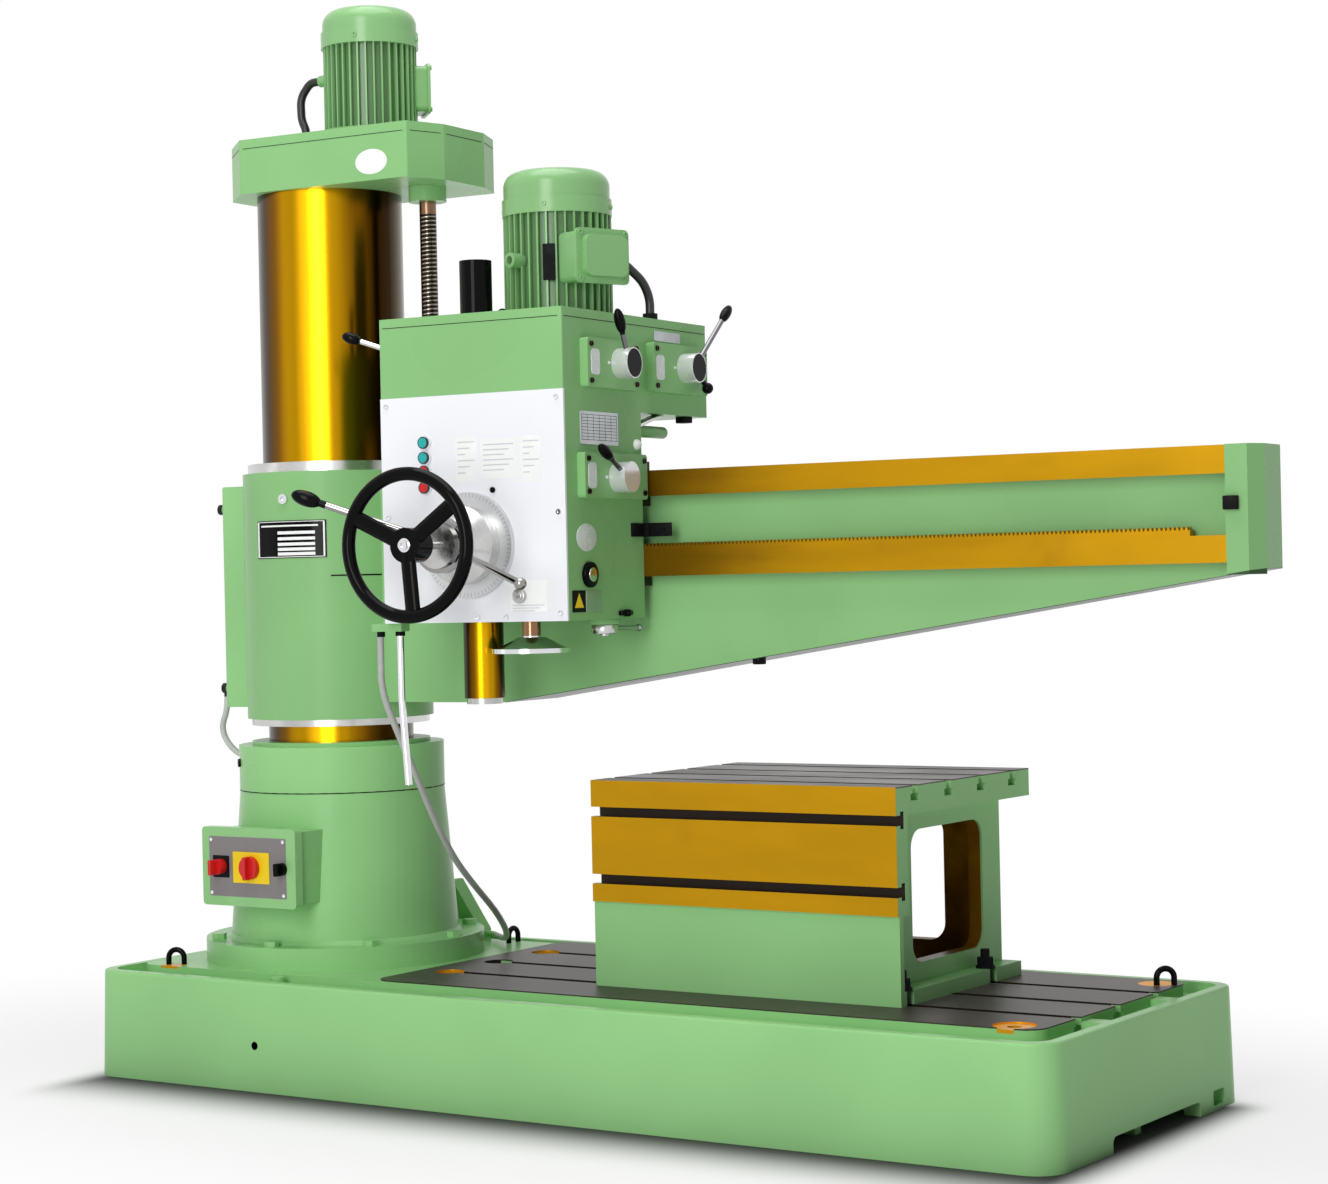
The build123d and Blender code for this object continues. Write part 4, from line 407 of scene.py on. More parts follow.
def base_finish(colours):
    """Base: enamel, a planed working face, painted shade in the slots and the port, and golden spot
    faces.
    """
    look = Look("base_finish")
    x, y, z = look.axes
    # A lighter copy of the paint, as painted light.
    paint, _, peel = painted(look, colours.paint, 1.04, 1.13)
    face, lines = planed(look, colours.planed)
    work = (z > 0.2572) * (x > 0.3852)  # the working face, up to its step
    # Painted shade in the working face's slots.
    slot_run = (abs(y) < 0.03).largest((abs(abs(y) - 0.185)) < 0.03)
    slot = slot_run * (x > 0.42) * (x < 2.024) * (z > 0.2) * (z < 0.2596)
    tone = look.coats(paint, (work, face), (slot, shade(colours.iron, 0.6)))
    spots = ((1.975, -0.325, 0.044), (1.992, 0.312, 0.040), (-0.240, -0.352, 0.030),
             (0.465, -0.185, 0.034), (0.465, 0.185, 0.034))
    for spot_x, spot_y, radius in spots:
        spot = (reach(x - spot_x, y - spot_y) < radius) * (z > 0.2496)
        tone = look.tint(spot, tone, colours.orange)
    # Painted shade: the port into the hollow base is painted black.
    port = (reach(x - 0.115, z - 0.105) < 0.0096) * (y < -0.4)
    tone = look.tint(port, tone, colours.black)
    look.bump(peel + work * (lines - peel), 0.06, 0.0005)
    look.set(Base_Color=tone, Metallic=work * 0.5,
             Roughness=work.ease(0.0, 1.0, 0.29, 0.42), Specular_IOR_Level=0.1)


def table_finish(colours):
    """Table: enamel, golden front bands, planed top, painted shade in the slots and an ochre inside."""
    look = Look("table_finish")
    x, y, z = look.axes
    paint = painted(look, colours.paint)[0]
    gold, streak, blot = film(look, colours.ochre, shade(colours.ochre, 0.62),
                              (3.0, 9.0, 12.0))
    face = planed(look, colours.planed)[0]
    top = z > 0.7085
    band = (y < -0.2285) * (z > 0.4455)
    # Painted shade in the slots behind the front bands.
    slot = (y < -0.17) * (y > -0.2285) * (z > 0.46) * (z < 0.68) * (x > 0.905) * (x < 1.6665)
    inside = (x > 0.956) * (x < 1.615) * (y > -0.2) * (y < 0.345) * (z < 0.69)
    oily = look.tint(blot.ease(0.4, 0.7), colours.ochre_dark, colours.ochre)
    tone = look.coats(paint, (top, face), (inside, oily), (slot, colours.iron), (band, gold))
    look.bump(streak, 0.05, 0.0005)
    look.set(Base_Color=tone, Metallic=band.largest(top) * 0.5,
             Roughness=streak.ease(0.3, 0.7, 0.3, 0.42), Specular_IOR_Level=0.1)


def thread_finish(colours):
    """Lifting screw: a helical thread with painted shade in its grooves, below a plain brown top."""
    look = Look("thread_finish", ARM_ANGLE)
    x, y, z = look.axes
    angle = y.bearing(x - LIFT_SCREW_X) / (2 * math.pi)
    wave = (z / THREAD_PITCH - angle).repeat(1.0)
    ridge = abs(wave - 0.5).ease(0.12, 0.3)
    # Painted shade in the thread's grooves, with the bump for their relief.
    cut = ridge * (z < THREAD_TOP)
    cloud = look.noise(30.0, 3.0)
    tone = look.coats(srgb(150, 140, 130), (cut, shade(colours.iron, 0.4)),
                      ((z > THREAD_TOP) * 0.8, srgb(120, 84, 58)))
    look.bump(1.0 - cut, 0.8, 0.0025)
    look.set(Base_Color=tone, Metallic=0.9, Roughness=cloud.ease(0.3, 0.7, 0.24, 0.36))


def dial_finish():
    """Feed dial: spun aluminium with a scale along its edge."""
    look = Look("dial_finish", ARM_ANGLE)
    x, _, z = look.axes
    across, rise = x - WHEEL_AXIS[0], z - WHEEL_AXIS[1]
    radius = reach(across, rise)
    rings = look.streaks((25.0, 300.0, 25.0), 2.0)
    spun = (radius * 900.0).sine()
    cloud = look.noise(12.0, 3.0)
    rgb = srgb(214, 215, 217)
    tone = look.tint(cloud.ease(0.4, 0.75, 0.0, 0.5), rgb, shade(rgb, 0.82))
    turn = rise.bearing(across) / (2 * math.pi)
    line = (abs((turn * 72.0).repeat(1.0) - 0.5) > 0.46) * (radius > 0.104) * (radius < 0.1125)
    tone = look.tint(line, tone, srgb(96, 96, 98))
    look.bump(spun * 0.5 + rings, 0.05, 0.0003)
    look.set(Base_Color=tone, Metallic=0.75, Roughness=cloud.ease(0.3, 0.7, 0.3, 0.4))


def smooth_hose(name, rgb, rough):
    """Smooth rubber or plastic hose, a little dusty."""
    look = Look(name)
    cloud = look.noise(25.0, 4.0)
    grain = look.noise(500.0, 2.0)
    tone = look.tint(cloud.ease(0.4, 0.75, 0.0, 0.45), rgb, shade(rgb, 1.3))
    look.bump(grain, 0.06, 0.0004)
    look.set(Base_Color=tone, Roughness=cloud.ease(0.3, 0.7, rough, rough * 1.25))


def finishes():
    """Every finish of the machine, by name."""
    colours = bpy.context.scene.drill_colours
    if "enamel" in bpy.data.materials:
        return bpy.data.materials
    # The one green paint in lighter and darker copies, as painted light and shade: lighter on the base
    # and the lower parts, darker on the arm, head, gearbox and motors.
    enamel("enamel", shade(colours.paint, 1.1))
    enamel("arm_enamel", shade(colours.paint, 0.88), ARM_ANGLE, ARM_UNDERSIDE)
    enamel("gearbox_enamel", shade(colours.paint, 0.88))
    motor_enamel("lift_enamel", shade(colours.paint, 0.78), arm_place(*LIFT_MOTOR, 0.0),
                 0.112, 2.441)
    motor_enamel("drive_enamel", shade(colours.paint, 0.78), arm_place(*DRIVE_MOTOR, 0.0),
                 0.122, 1.968)
    enamel("panel_white", colours.white, ARM_ANGLE)
    oiled_column_painted_reflection("column_film", colours, (0.0, 0.0), -65.0, 2.2)
    oiled_column_painted_reflection("quill_film", colours, arm_place(*QUILL, 0.0), -50.0, 1.5)
    oiled_way("way_film", colours)
    turned_steel("ring_steel", colours.steel, "Z")
    turned_steel("hub_steel", colours.steel, "X", 0.2)
    turned_steel("shaft_steel", colours.steel, "Y", 0.24)
    turned_steel("iron", colours.iron, "Z", 0.4)
    plating("plating", srgb(222, 223, 226))
    moulded("gloss_black", colours.black, 0.1, 0.0, 0.07)
    moulded("black_matt", shade(colours.black, 1.6), 0.5, 0.04, 0.1)
    moulded("red_knob", colours.red, 0.3)
    moulded("yellow_plate", colours.yellow, 0.36)
    moulded("window_plate", srgb(214, 220, 220), 0.22)
    moulded("white_plate", srgb(238, 240, 238), 0.34)
    moulded("chart_grey", srgb(196, 199, 205), 0.4)
    moulded("control_grey", srgb(124, 119, 120), 0.42)
    turned_steel("data_plate", colours.plate, "Z", 0.34)
    smooth_hose("hose_grey", colours.hose, 0.45)
    smooth_hose("conduit_black", colours.conduit, 0.34)
    smooth_hose("conduit_pale", srgb(186, 188, 186), 0.4)
    base_finish(colours)
    table_finish(colours)
    thread_finish(colours)
    dial_finish()
    return bpy.data.materials


def only(piece):
    """Leaves one object selected and active."""
    bpy.ops.object.select_all(action="DESELECT")
    piece.select_set(True)
    bpy.context.view_layer.objects.active = piece
    return piece


def settle(piece):
    """Applies the place, turn and scale of a new primitive."""
    only(piece)
    bpy.ops.object.transform_apply(location=True, rotation=True, scale=True)
    return piece


def soften(piece, width, angle=35.0):
    """Rounds the sharp edges of a piece and smooths its shading."""
    only(piece)
    if width:
        bevel = piece.modifiers.new("Soft edge", "BEVEL")
        bevel.width = width
        bevel.segments = 2
        bevel.limit_method = "ANGLE"
        bevel.angle_limit = math.radians(angle)
        bpy.ops.object.modifier_apply(modifier=bevel.name)
    bpy.ops.object.shade_smooth_by_angle(angle=math.radians(angle))
    return piece


def facing(direction):
    """Turn that takes +Z to a direction."""
    return UP.rotation_difference(Vector(direction)).to_euler()


def disc(centre, radius, height, direction, edge=0.0, sides=48):
    """A round bar standing on its centre along a direction."""
    direction = Vector(direction).normalized()
    middle = Vector(centre) + direction * (height / 2)
    bpy.ops.mesh.primitive_cylinder_add(
        vertices=sides, radius=radius, depth=height, location=middle, rotation=facing(direction))
    piece = settle(bpy.context.active_object)
    return soften(piece, edge)


def ring(centre, radius, thickness, direction):
    """A round ring about a direction."""
    bpy.ops.mesh.primitive_torus_add(
        location=centre, rotation=facing(direction), major_radius=radius,
        minor_radius=thickness, major_segments=48, minor_segments=16)
    return soften(settle(bpy.context.active_object), 0.0, 60.0)


def block(low, high, edge=0.0):
    """A box between two corners."""
    low, high = Vector(low), Vector(high)
    bpy.ops.mesh.primitive_cube_add(size=1, location=(low + high) / 2)
    piece = bpy.context.active_object
    piece.scale = high - low
    return soften(settle(piece), edge)


def pick(piece, kind, wanted):
    """Opens a piece for editing with only the wanted edges or faces selected."""
    only(piece)
    bpy.ops.object.mode_set(mode="EDIT")
    bpy.ops.mesh.select_mode(type=kind)
    bpy.ops.mesh.select_all(action="DESELECT")
    bpy.ops.object.mode_set(mode="OBJECT")
    for part in piece.data.edges if kind == "EDGE" else piece.data.polygons:
        part.select = wanted(part)
    bpy.ops.object.mode_set(mode="EDIT")


def plate(low, high, corner, edge=0.0003):
    """A thin box with its corners rounded about its thin direction."""
    piece = block(low, high)
    size = Vector(high) - Vector(low)
    thin = min(range(3), key=lambda axis: size[axis])
    points = piece.data.vertices

    def upright(line):
        run = points[line.vertices[1]].co - points[line.vertices[0]].co
        return abs(run[thin]) > 0.9 * run.length

    pick(piece, "EDGE", upright)
    bpy.ops.mesh.bevel(offset=corner, segments=6, affect="EDGES")
    bpy.ops.object.mode_set(mode="OBJECT")
    return soften(piece, edge)


def bar(start, end, radius, sides=24):
    """A round bar between two points."""
    start, end = Vector(start), Vector(end)
    return disc(start, radius, (end - start).length, end - start, 0.0, sides)


def ball(centre, radius):
    """A ball."""
    bpy.ops.mesh.primitive_uv_sphere_add(segments=32, ring_count=16, radius=radius, location=centre)
    return soften(settle(bpy.context.active_object), 0.0, 60.0)


def screw_head(centre, radius, height, direction):
    """A socket screw's head: a short cylinder with a round recess."""
    piece = disc(centre, radius, height, direction, 0.0, 24)
    direction = Vector(direction).normalized()
    pick(piece, "FACE", lambda face: face.normal.dot(direction) > 0.9)
    bpy.ops.mesh.inset(thickness=radius * 0.14, depth=0.0)
    bpy.ops.mesh.inset(thickness=radius * 0.32, depth=0.0)
    bpy.ops.mesh.inset(thickness=radius * 0.02, depth=-height * 0.6)
    bpy.ops.object.mode_set(mode="OBJECT")
    return soften(piece, 0.0)


def cover_screw(centre, direction):
    """One of the small cover screws."""
    trim = bpy.context.scene.drill_trim
    return screw_head(centre, trim.screw_radius, trim.screw_height, direction)


def side_plate(face, front, back, bottom, top, corner):
    """A bare plate on a face that looks to the right."""
    lift = face + bpy.context.scene.drill_trim.plate_thickness
    return plate((face - SINK, front, bottom), (lift, back, top), corner)


def joined(pieces):
    """One object of several."""
    bpy.ops.object.select_all(action="DESELECT")
    for piece in pieces:
        piece.select_set(True)
    bpy.context.view_layer.objects.active = pieces[0]
    if len(pieces) > 1:
        bpy.ops.object.join()
    return bpy.context.active_object


def stretched(piece, scale, about):
    """Scales a piece about a point."""
    only(piece)
    about = Vector(about)
    piece.matrix_world = (Matrix.Translation(about) @ Matrix.Diagonal((*scale, 1))
                          @ Matrix.Translation(-about))
    return settle(piece)


def outward(degrees):
    """Level direction at an angle from +X."""
    return Vector((math.cos(math.radians(degrees)), math.sin(math.radians(degrees)), 0))


def polar(axis, radius, degrees, z):
    """Point on a round wall about an upright axis."""
    return Vector((*axis, z)) + outward(degrees) * radius


def curved_plate(radius, start, end, bottom, top, thickness):
    """A thin plate that follows a round wall about Z from one angle to another."""
    bpy.ops.mesh.primitive_cylinder_add(
        vertices=720, radius=radius, depth=top - bottom, location=(0, 0, (bottom + top) / 2),
        end_fill_type="NOTHING")
    piece = settle(bpy.context.active_object)
    pick(piece, "FACE", lambda face: not start < math.degrees(
        math.atan2(face.center.y, face.center.x)) < end)
    bpy.ops.mesh.delete(type="FACE")
    bpy.ops.object.mode_set(mode="OBJECT")
    shell = piece.modifiers.new("Thickness", "SOLIDIFY")
    shell.thickness = thickness
    shell.offset = 1.0
    bpy.ops.object.modifier_apply(modifier=shell.name)
    return soften(piece, 0.0)


def keep(pieces, name, body, finish, arm=True):
    """Names a piece, turns it with the arm, gives it its finish and hangs it on its body."""
    piece = joined(pieces)
    only(piece)
    bpy.ops.object.mode_set(mode="EDIT")
    bpy.ops.mesh.select_all(action="SELECT")
    bpy.ops.mesh.normals_make_consistent(inside=False)
    bpy.ops.object.mode_set(mode="OBJECT")
    if arm:
        piece.rotation_euler = (0, 0, ARM_ANGLE)
        bpy.ops.object.transform_apply(location=False, rotation=True, scale=False)
    piece.name = name
    piece.data.name = name
    piece.data.materials.clear()
    piece.data.materials.append(finishes()[finish])
    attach(piece, body)
    return piece


def arm_place(x, y, z):
    """Where a point drawn with the arm along +X stands."""
    return Matrix.Rotation(ARM_ANGLE, 4, "Z") @ Vector((x, y, z))


def route(points, name, diameter, finish, body):
    """A round cord along a row of control points, in millimetres."""
    curve = bpy.data.curves.new(name, "CURVE")
    curve.dimensions = "3D"
    curve.bevel_depth = diameter / 2
    curve.bevel_resolution = 6
    curve.use_fill_caps = True
    line = curve.splines.new("NURBS")
    line.points.add(len(points) - 1)
    for control, point in zip(line.points, points):
        control.co = (*(Vector(point) / 1000), 1)
    line.order_u = 3
    line.use_endpoint_u = True
    line.resolution_u = 12
    piece = bpy.data.objects.new(name, curve)
    bpy.context.collection.objects.link(piece)
    curve.materials.append(finishes()[finish])
    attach(piece, body)
    return piece


NODE_FINISHES = {
    "base_finish": "base_casting",
    "table_finish": "box_table",
    "enamel": "column_seat seat_bolts control_box coolant_pump column_ring",
    "gearbox_enamel": "top_gearbox gearbox_lid",
    "arm_enamel": "arm_casting head_casting head_lid shift_plates",
    "lift_enamel": "lift_motor",
    "drive_enamel": "drive_motor",
    "panel_white": "front_panel",
    "tail_finish": "tail_box",
    "door_finish": "control_door",
    "column_film": "outer_column",
    "quill_film": "quill",
    "way_film": "arm_ways arm_rack",
    "thread_finish": "lift_screw",
    "ring_steel": "inner_column column_bearings sleeve_rings lift_nut quill_bearings spindle",
    "shaft_steel": "feed_hub traverse_shaft",
    "iron": "screw_gear lift_motor_pinion head_gibs spindle_gear drive_pinion rack_pinion",
    "plating": "coolant_pipe",
    "dial_finish": "feed_dial",
    "capstan_finish": "feed_levers",
    "fine_wheel_finish": "fine_feed_wheel",
    "speed_finish": "speed_lever",
    "feed_finish": "feed_lever",
    "reverse_finish": "reverse_lever",
    "side_finish": "side_lever",
    "gloss_black": "lifting_eyes spindle_guard handwheel door_latch",
    "black_matt": "table_bolts",
    "conduit_black": "lift_motor_conduit drive_motor_conduit",
    "red_knob": "main_switch pump_switch",
    "first_button": "button_first",
    "second_button": "button_second",
    "third_button": "button_third",
    "fourth_button": "button_fourth",
}


class DRILL_OT_finish_frame(bpy.types.Operator):
    """Give every CAD piece its finish"""

    bl_idname = "drill.finish_frame"
    bl_label = "Finish the frame"

    def execute(self, context):
        materials = finishes()
        colours = context.scene.drill_colours
        lever_finish("speed_finish", SPEED_HUB, 0.067, colours)
        lever_finish("feed_finish", FEED_HUB, 0.175, colours)
        lever_finish("reverse_finish", REVERSE_HUB, 0.074, colours, False)
        knob_finish("side_finish", (0.371, -0.435, 1.702), 0.024, colours.steel, colours)
        fine_wheel_finish()
        knob_finish("capstan_finish", (0.435, -0.700, 1.337), 0.046, srgb(150, 148, 146), colours)
        patch_finish("tail_finish", colours, colours.black, lambda x, y, z: x < -0.3115, ARM_ANGLE)
        patch_finish("door_finish", colours, colours.yellow,
                     lambda x, y, z: (y < -0.3315) * (x > -0.0592) * (x < 0.0532), 0.0)
        names = ("first_button", "second_button", "third_button", "fourth_button")
        caps = (colours.teal, colours.teal, colours.red, colours.red)
        for name, height, rgb in zip(names, BUTTON_HEIGHTS, caps):
            cap_finish(name, height, rgb, colours)
        for finish, nodes in NODE_FINISHES.items():
            for node in nodes.split():
                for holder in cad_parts[node].material_slots:
                    holder.material = materials[finish]
        return {"FINISHED"}


def lever_finish(name, axis, grip_start, colours, capped=True):
    """Shift lever: bright hub, darker rod and black grip, with a black end face where capped."""
    look = Look(name, ARM_ANGLE)
    x, y, z = look.axes
    rise = z - axis[1]
    radius = reach(y - axis[0], rise)
    black = radius > grip_start
    hub_radius, cap_radius, hub_end, knob_start = 0.0345, 0.0315, 1.0099, 0.046
    if capped:
        knob = (radius > knob_start) * (rise < -0.02)
        end = (x > hub_end) * (radius < cap_radius)
        black = black.largest(end).largest(knob)
    rod = radius > hub_radius
    marks = look.streaks((60.0, 60.0, 300.0), 4.0, 0.7)
    tone = look.coats(srgb(232, 233, 235), (rod, srgb(112, 112, 114)), (black, colours.black))
    rough = marks.ease(0.4, 0.8, 0.14, 0.3)
    look.set(Base_Color=tone, Metallic=(1.0 - black) * (rod * 0.35 + 0.5),
             Roughness=rough + black * 0.08, Specular_IOR_Level=0.08)


def knob_finish(name, centre, radius, rgb, colours):
    """Bright steel lever with a gloss black ball at one place."""
    look = Look(name, ARM_ANGLE)
    across, along, rise = (axis - middle for axis, middle in zip(look.axes, centre))
    knob = (across * across + along * along + rise * rise) < radius * radius
    marks = look.noise(70.0, 5.0, 0.7)
    look.set(Base_Color=look.tint(knob, rgb, colours.black), Metallic=1.0 - knob,
             Roughness=marks.ease(0.4, 0.8, 0.084, 0.192) + knob * 0.08, Specular_IOR_Level=0.08)


def patch_finish(name, colours, rgb, mask_of, turn):
    """Enamel with one part in another colour."""
    look = Look(name, turn)
    paint, cloud, peel = painted(look, colours.paint)
    look.bump(peel, 0.05, 0.0006)
    look.set(Base_Color=look.tint(mask_of(*look.axes), paint, rgb),
             Roughness=cloud.ease(0.2, 0.8, 0.24, 0.34), Specular_IOR_Level=0.24)


def cap_finish(name, height, rgb, colours):
    """Push button: coloured cap in a black collar."""
    look = Look(name, ARM_ANGLE)
    x, y, z = look.axes
    cap = (reach(x - BUTTON_X, z - height) < 0.0108) * (y < -0.486)
    cloud = look.noise(60.0, 3.0)
    tone = look.tint(cap, colours.black, rgb)
    look.set(Base_Color=tone, Roughness=cloud.ease(0.3, 0.7, 0.24, 0.36))


def fine_wheel_finish():
    """Fine feed wheel: bright dish below a brown shaft."""
    look = Look("fine_wheel_finish", ARM_ANGLE)
    x, y, z = look.axes
    shaft = (reach(x - FINE_WHEEL[0], y - FINE_WHEEL[1]) < 0.022) * (z > 1.03)
    rings = look.streaks((50.0, 50.0, 700.0), 2.0)
    tone = look.tint(shaft, srgb(216, 217, 220), srgb(140, 104, 80))
    look.bump(rings, 0.04, 0.0003)
    look.set(Base_Color=tone, Metallic=1.0, Roughness=rings.ease(0.3, 0.7, 0.1, 0.2))


class DRILL_OT_coolant_hose(bpy.types.Operator):
    """Hang the coolant hose between the head and the pump"""

    bl_idname = "drill.coolant_hose"
    bl_label = "Coolant hose"

    def execute(self, context):
        trim = context.scene.drill_trim
        points = (
            (466.3, -407.8, 1045), (466.3, -407.8, 990), (456, -396, 912), (474, -366, 820),
            (482, -308, 712), (474, -232, 598), (456, -142, 508), (436, -44, 438),
            (404, 56, 383), (370, 136, 340), (332, 208, 302), (292, 260, 276),
            (247.86, 293.65, 272), (221.81, 315.5, 272))
        hose = route(points, "coolant_hose_visual", trim.hose_diameter, "hose_grey",
                     "base")
        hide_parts("coolant_hose")
        return {"FINISHED"}


class DRILL_OT_sleeve_conduit(bpy.types.Operator):
    """Lay the short conduit from the tail box to the column ring"""

    bl_idname = "drill.sleeve_conduit"
    bl_label = "Sleeve conduit"

    def execute(self, context):
        trim = context.scene.drill_trim
        drawn = (
            (-318, -40, 882), (-318, -40, 850), (-338, -38, 812), (-334, -34, 780),
            (-312, -29, 750), (-286, -25, 735), (-264, -25, 735))
        points = [tuple(arm_place(*point)) for point in drawn]
        conduit = route(points, "sleeve_conduit_visual", trim.conduit_diameter,
                        "conduit_pale", "arm")
        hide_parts("sleeve_conduit")
        return {"FINISHED"}


class DRILL_OT_panel_trim(bpy.types.Operator):
    """Add the front panel's screws, blank charts, plug and small knob"""

    bl_idname = "drill.panel_trim"
    bl_label = "Front panel trim"

    def execute(self, context):
        places = ((0.4925, 1.5405), (0.9335, 1.5405), (0.9335, 1.0800), (0.4925, 1.0800),
                  (0.9335, 1.2960), (0.4925, 1.2960), (0.7220, 1.0730), (0.7950, 1.0730))
        screws = [cover_screw((x, PANEL_FACE, z), FRONT) for x, z in places]
        keep(screws, "panel_screws", "head", "plating")
        charts, rules = [], []

        def chart(left, right, bottom, top):
            charts.append(plate((left, PANEL_FACE - 0.0006, bottom), (right, PANEL_FACE + 0.001, top),
                                0.003, 0.0))

        def rule(left, right, level, half):
            rules.append(block((left, PANEL_FACE - 0.0009, level - half),
                               (right, PANEL_FACE - 0.0004, level + half)))

        rows = 6
        for left, right, bottom, top in ((0.672, 0.728, 1.366, 1.466), (0.738, 0.828, 1.372, 1.458),
                                         (0.840, 0.892, 1.362, 1.462)):
            chart(left, right, bottom, top)
            for row in range(rows):
                level = top - 0.012 - row * (top - bottom - 0.02) / rows
                rule(left + 0.006, right - 0.006 - (row % 3) * 0.012, level, 0.0012)
        chart(0.806, 0.900, 1.084, 1.152)
        for row in range(3):
            rule(0.812, 0.892 - row * 0.012, 1.098 - row * 0.006, 0.0009)
        keep(charts, "panel_charts", "head", "white_plate")
        keep(rules, "panel_chart_lines", "head", "chart_grey")
        plug = disc((0.7674, PANEL_FACE, 1.348), 0.0065, 0.004, FRONT, 0.001)
        keep([plug], "panel_plug", "head", "gloss_black")
        knob = disc((0.8324, PANEL_FACE, 1.1183), 0.0155, 0.012, FRONT, 0.002)
        cap = disc((0.8324, PANEL_FACE - 0.012, 1.1183), 0.011, 0.004, FRONT, 0.0015)
        keep([knob, cap], "panel_knob", "head", "shaft_steel")
        return {"FINISHED"}


class DRILL_OT_shift_trim(bpy.types.Operator):
    """Add the screws and clear windows of the three shift plates"""

    bl_idname = "drill.shift_trim"
    bl_label = "Shift plate trim"

    def execute(self, context):
        plates = ((-0.405, -0.185, 1.564, 1.671), (-0.121, 0.125, 1.567, 1.678),
                  (-0.426, -0.161, 1.325, 1.424))
        inset = 0.014
        screws = [cover_screw((SHIFT_FACE, y, z), RIGHT)
                  for front, back, bottom, top in plates
                  for y in (front + inset, back - inset) for z in (bottom + inset, top - inset)]
        keep(screws, "shift_screws", "head", "iron")
        windows = ((-0.392, -0.356, 1.591, 1.647), (-0.110, -0.074, 1.594, 1.650),
                   (-0.413, -0.379, 1.346, 1.402))
        panes = [side_plate(SHIFT_FACE, *window, 0.010) for window in windows]
        keep(panes, "shift_windows", "head", "window_plate")
        pointers = [plate((SHIFT_FACE - SINK, y - 0.046, z - 0.003),
                          (SHIFT_FACE + 0.001, y - 0.037, z + 0.003), 0.0012, 0.0)
                    for y, z in (SPEED_HUB, FEED_HUB, REVERSE_HUB)]
        keep(pointers, "shift_marks", "head", "white_plate")
        return {"FINISHED"}


class DRILL_OT_side_trim(bpy.types.Operator):
    """Add the plates, sight ring, strap and fittings on the head's right side"""

    bl_idname = "drill.side_trim"
    bl_label = "Head side trim"

    def execute(self, context):
        thickness = context.scene.drill_trim.plate_thickness
        face, lift = SIDE_FACE, SIDE_FACE + thickness
        plates = [side_plate(face, -0.4116, -0.2518, 1.4416, 1.5133, 0.003),
                  side_plate(face, -0.083, 0.034, 1.6835, 1.7060, 0.002),
                  side_plate(face, -0.402, -0.338, 1.0805, 1.1275, 0.002)]
        keep(plates, "side_plates", "head", "data_plate")
        left, top = -0.405, 1.5060
        levels = [top - row * 0.0068 for row in range(9)]
        stops = [left + column * 0.0245 for column in range(7)]
        spans = [(left, -0.258, level - 0.0005, level + 0.0005) for level in levels]
        spans += [(stop - 0.0004, stop + 0.0004, 1.4500, top) for stop in stops]
        lines = [block((lift - 0.0002, front, low), (lift + 0.0002, back, high))
                 for front, back, low, high in spans]
        keep(lines, "side_plate_lines", "head", "black_matt")
        ground = side_plate(face, -0.4578, -0.404, 1.0805, 1.1275, 0.002)
        keep([ground], "side_black_plate", "head", "black_matt")
        bpy.ops.mesh.primitive_cylinder_add(
            vertices=3, radius=0.021, depth=0.0008, location=(lift, -0.431, 1.1005),
            rotation=(math.radians(90), 0, math.radians(90)))
        mark = settle(bpy.context.active_object)
        keep([mark], "side_yellow_mark", "head", "yellow_plate")
        oval = disc((face - SINK, -0.394, 1.2409), 0.030, thickness + SINK, RIGHT, 0.0003, 64)
        stretched(oval, (1, 1.36, 1), (face, -0.394, 1.2409))
        keep([oval], "side_oval_plate", "head", "window_plate")
        stud = ball((face, -0.1729, 1.447), 0.0125)
        keep([stud], "side_white_stud", "head", "white_plate")
        sight = disc((face, -0.3887, 1.1606), 0.028, 0.010, RIGHT, 0.002)
        keep([sight], "sight_ring", "head", "gloss_black")
        glass = disc((face + 0.010, -0.3887, 1.1606), 0.0155, 0.003, RIGHT, 0.001)
        plug = disc((face, -0.1620, 1.4043), 0.010, 0.008, RIGHT, 0.0015)
        keep([glass, plug], "sight_plugs", "head", "hub_steel")
        bends = ((0.0, -0.205, 0.005), (0.0, -0.157, 0.022), (0.017, -0.157, 0.075))
        strap = [block((face + near, front, 1.243), (face + far, -0.152, 1.273), 0.001)
                 for near, front, far in bends]
        strap.append(screw_head((face + 0.005, -0.186, 1.258), 0.005, 0.004, RIGHT))
        strap.append(screw_head((face + 0.055, -0.157, 1.258), 0.005, 0.004, FRONT))
        keep(strap, "wiper_strap", "head", "black_matt")
        wing = [block((face, -0.267, 1.070), (face + 0.010, -0.216, 1.081), 0.003),
                disc((face, -0.2415, 1.0755), 0.008, 0.016, RIGHT, 0.002)]
        keep(wing, "lock_wing", "head", "gloss_black")
        return {"FINISHED"}


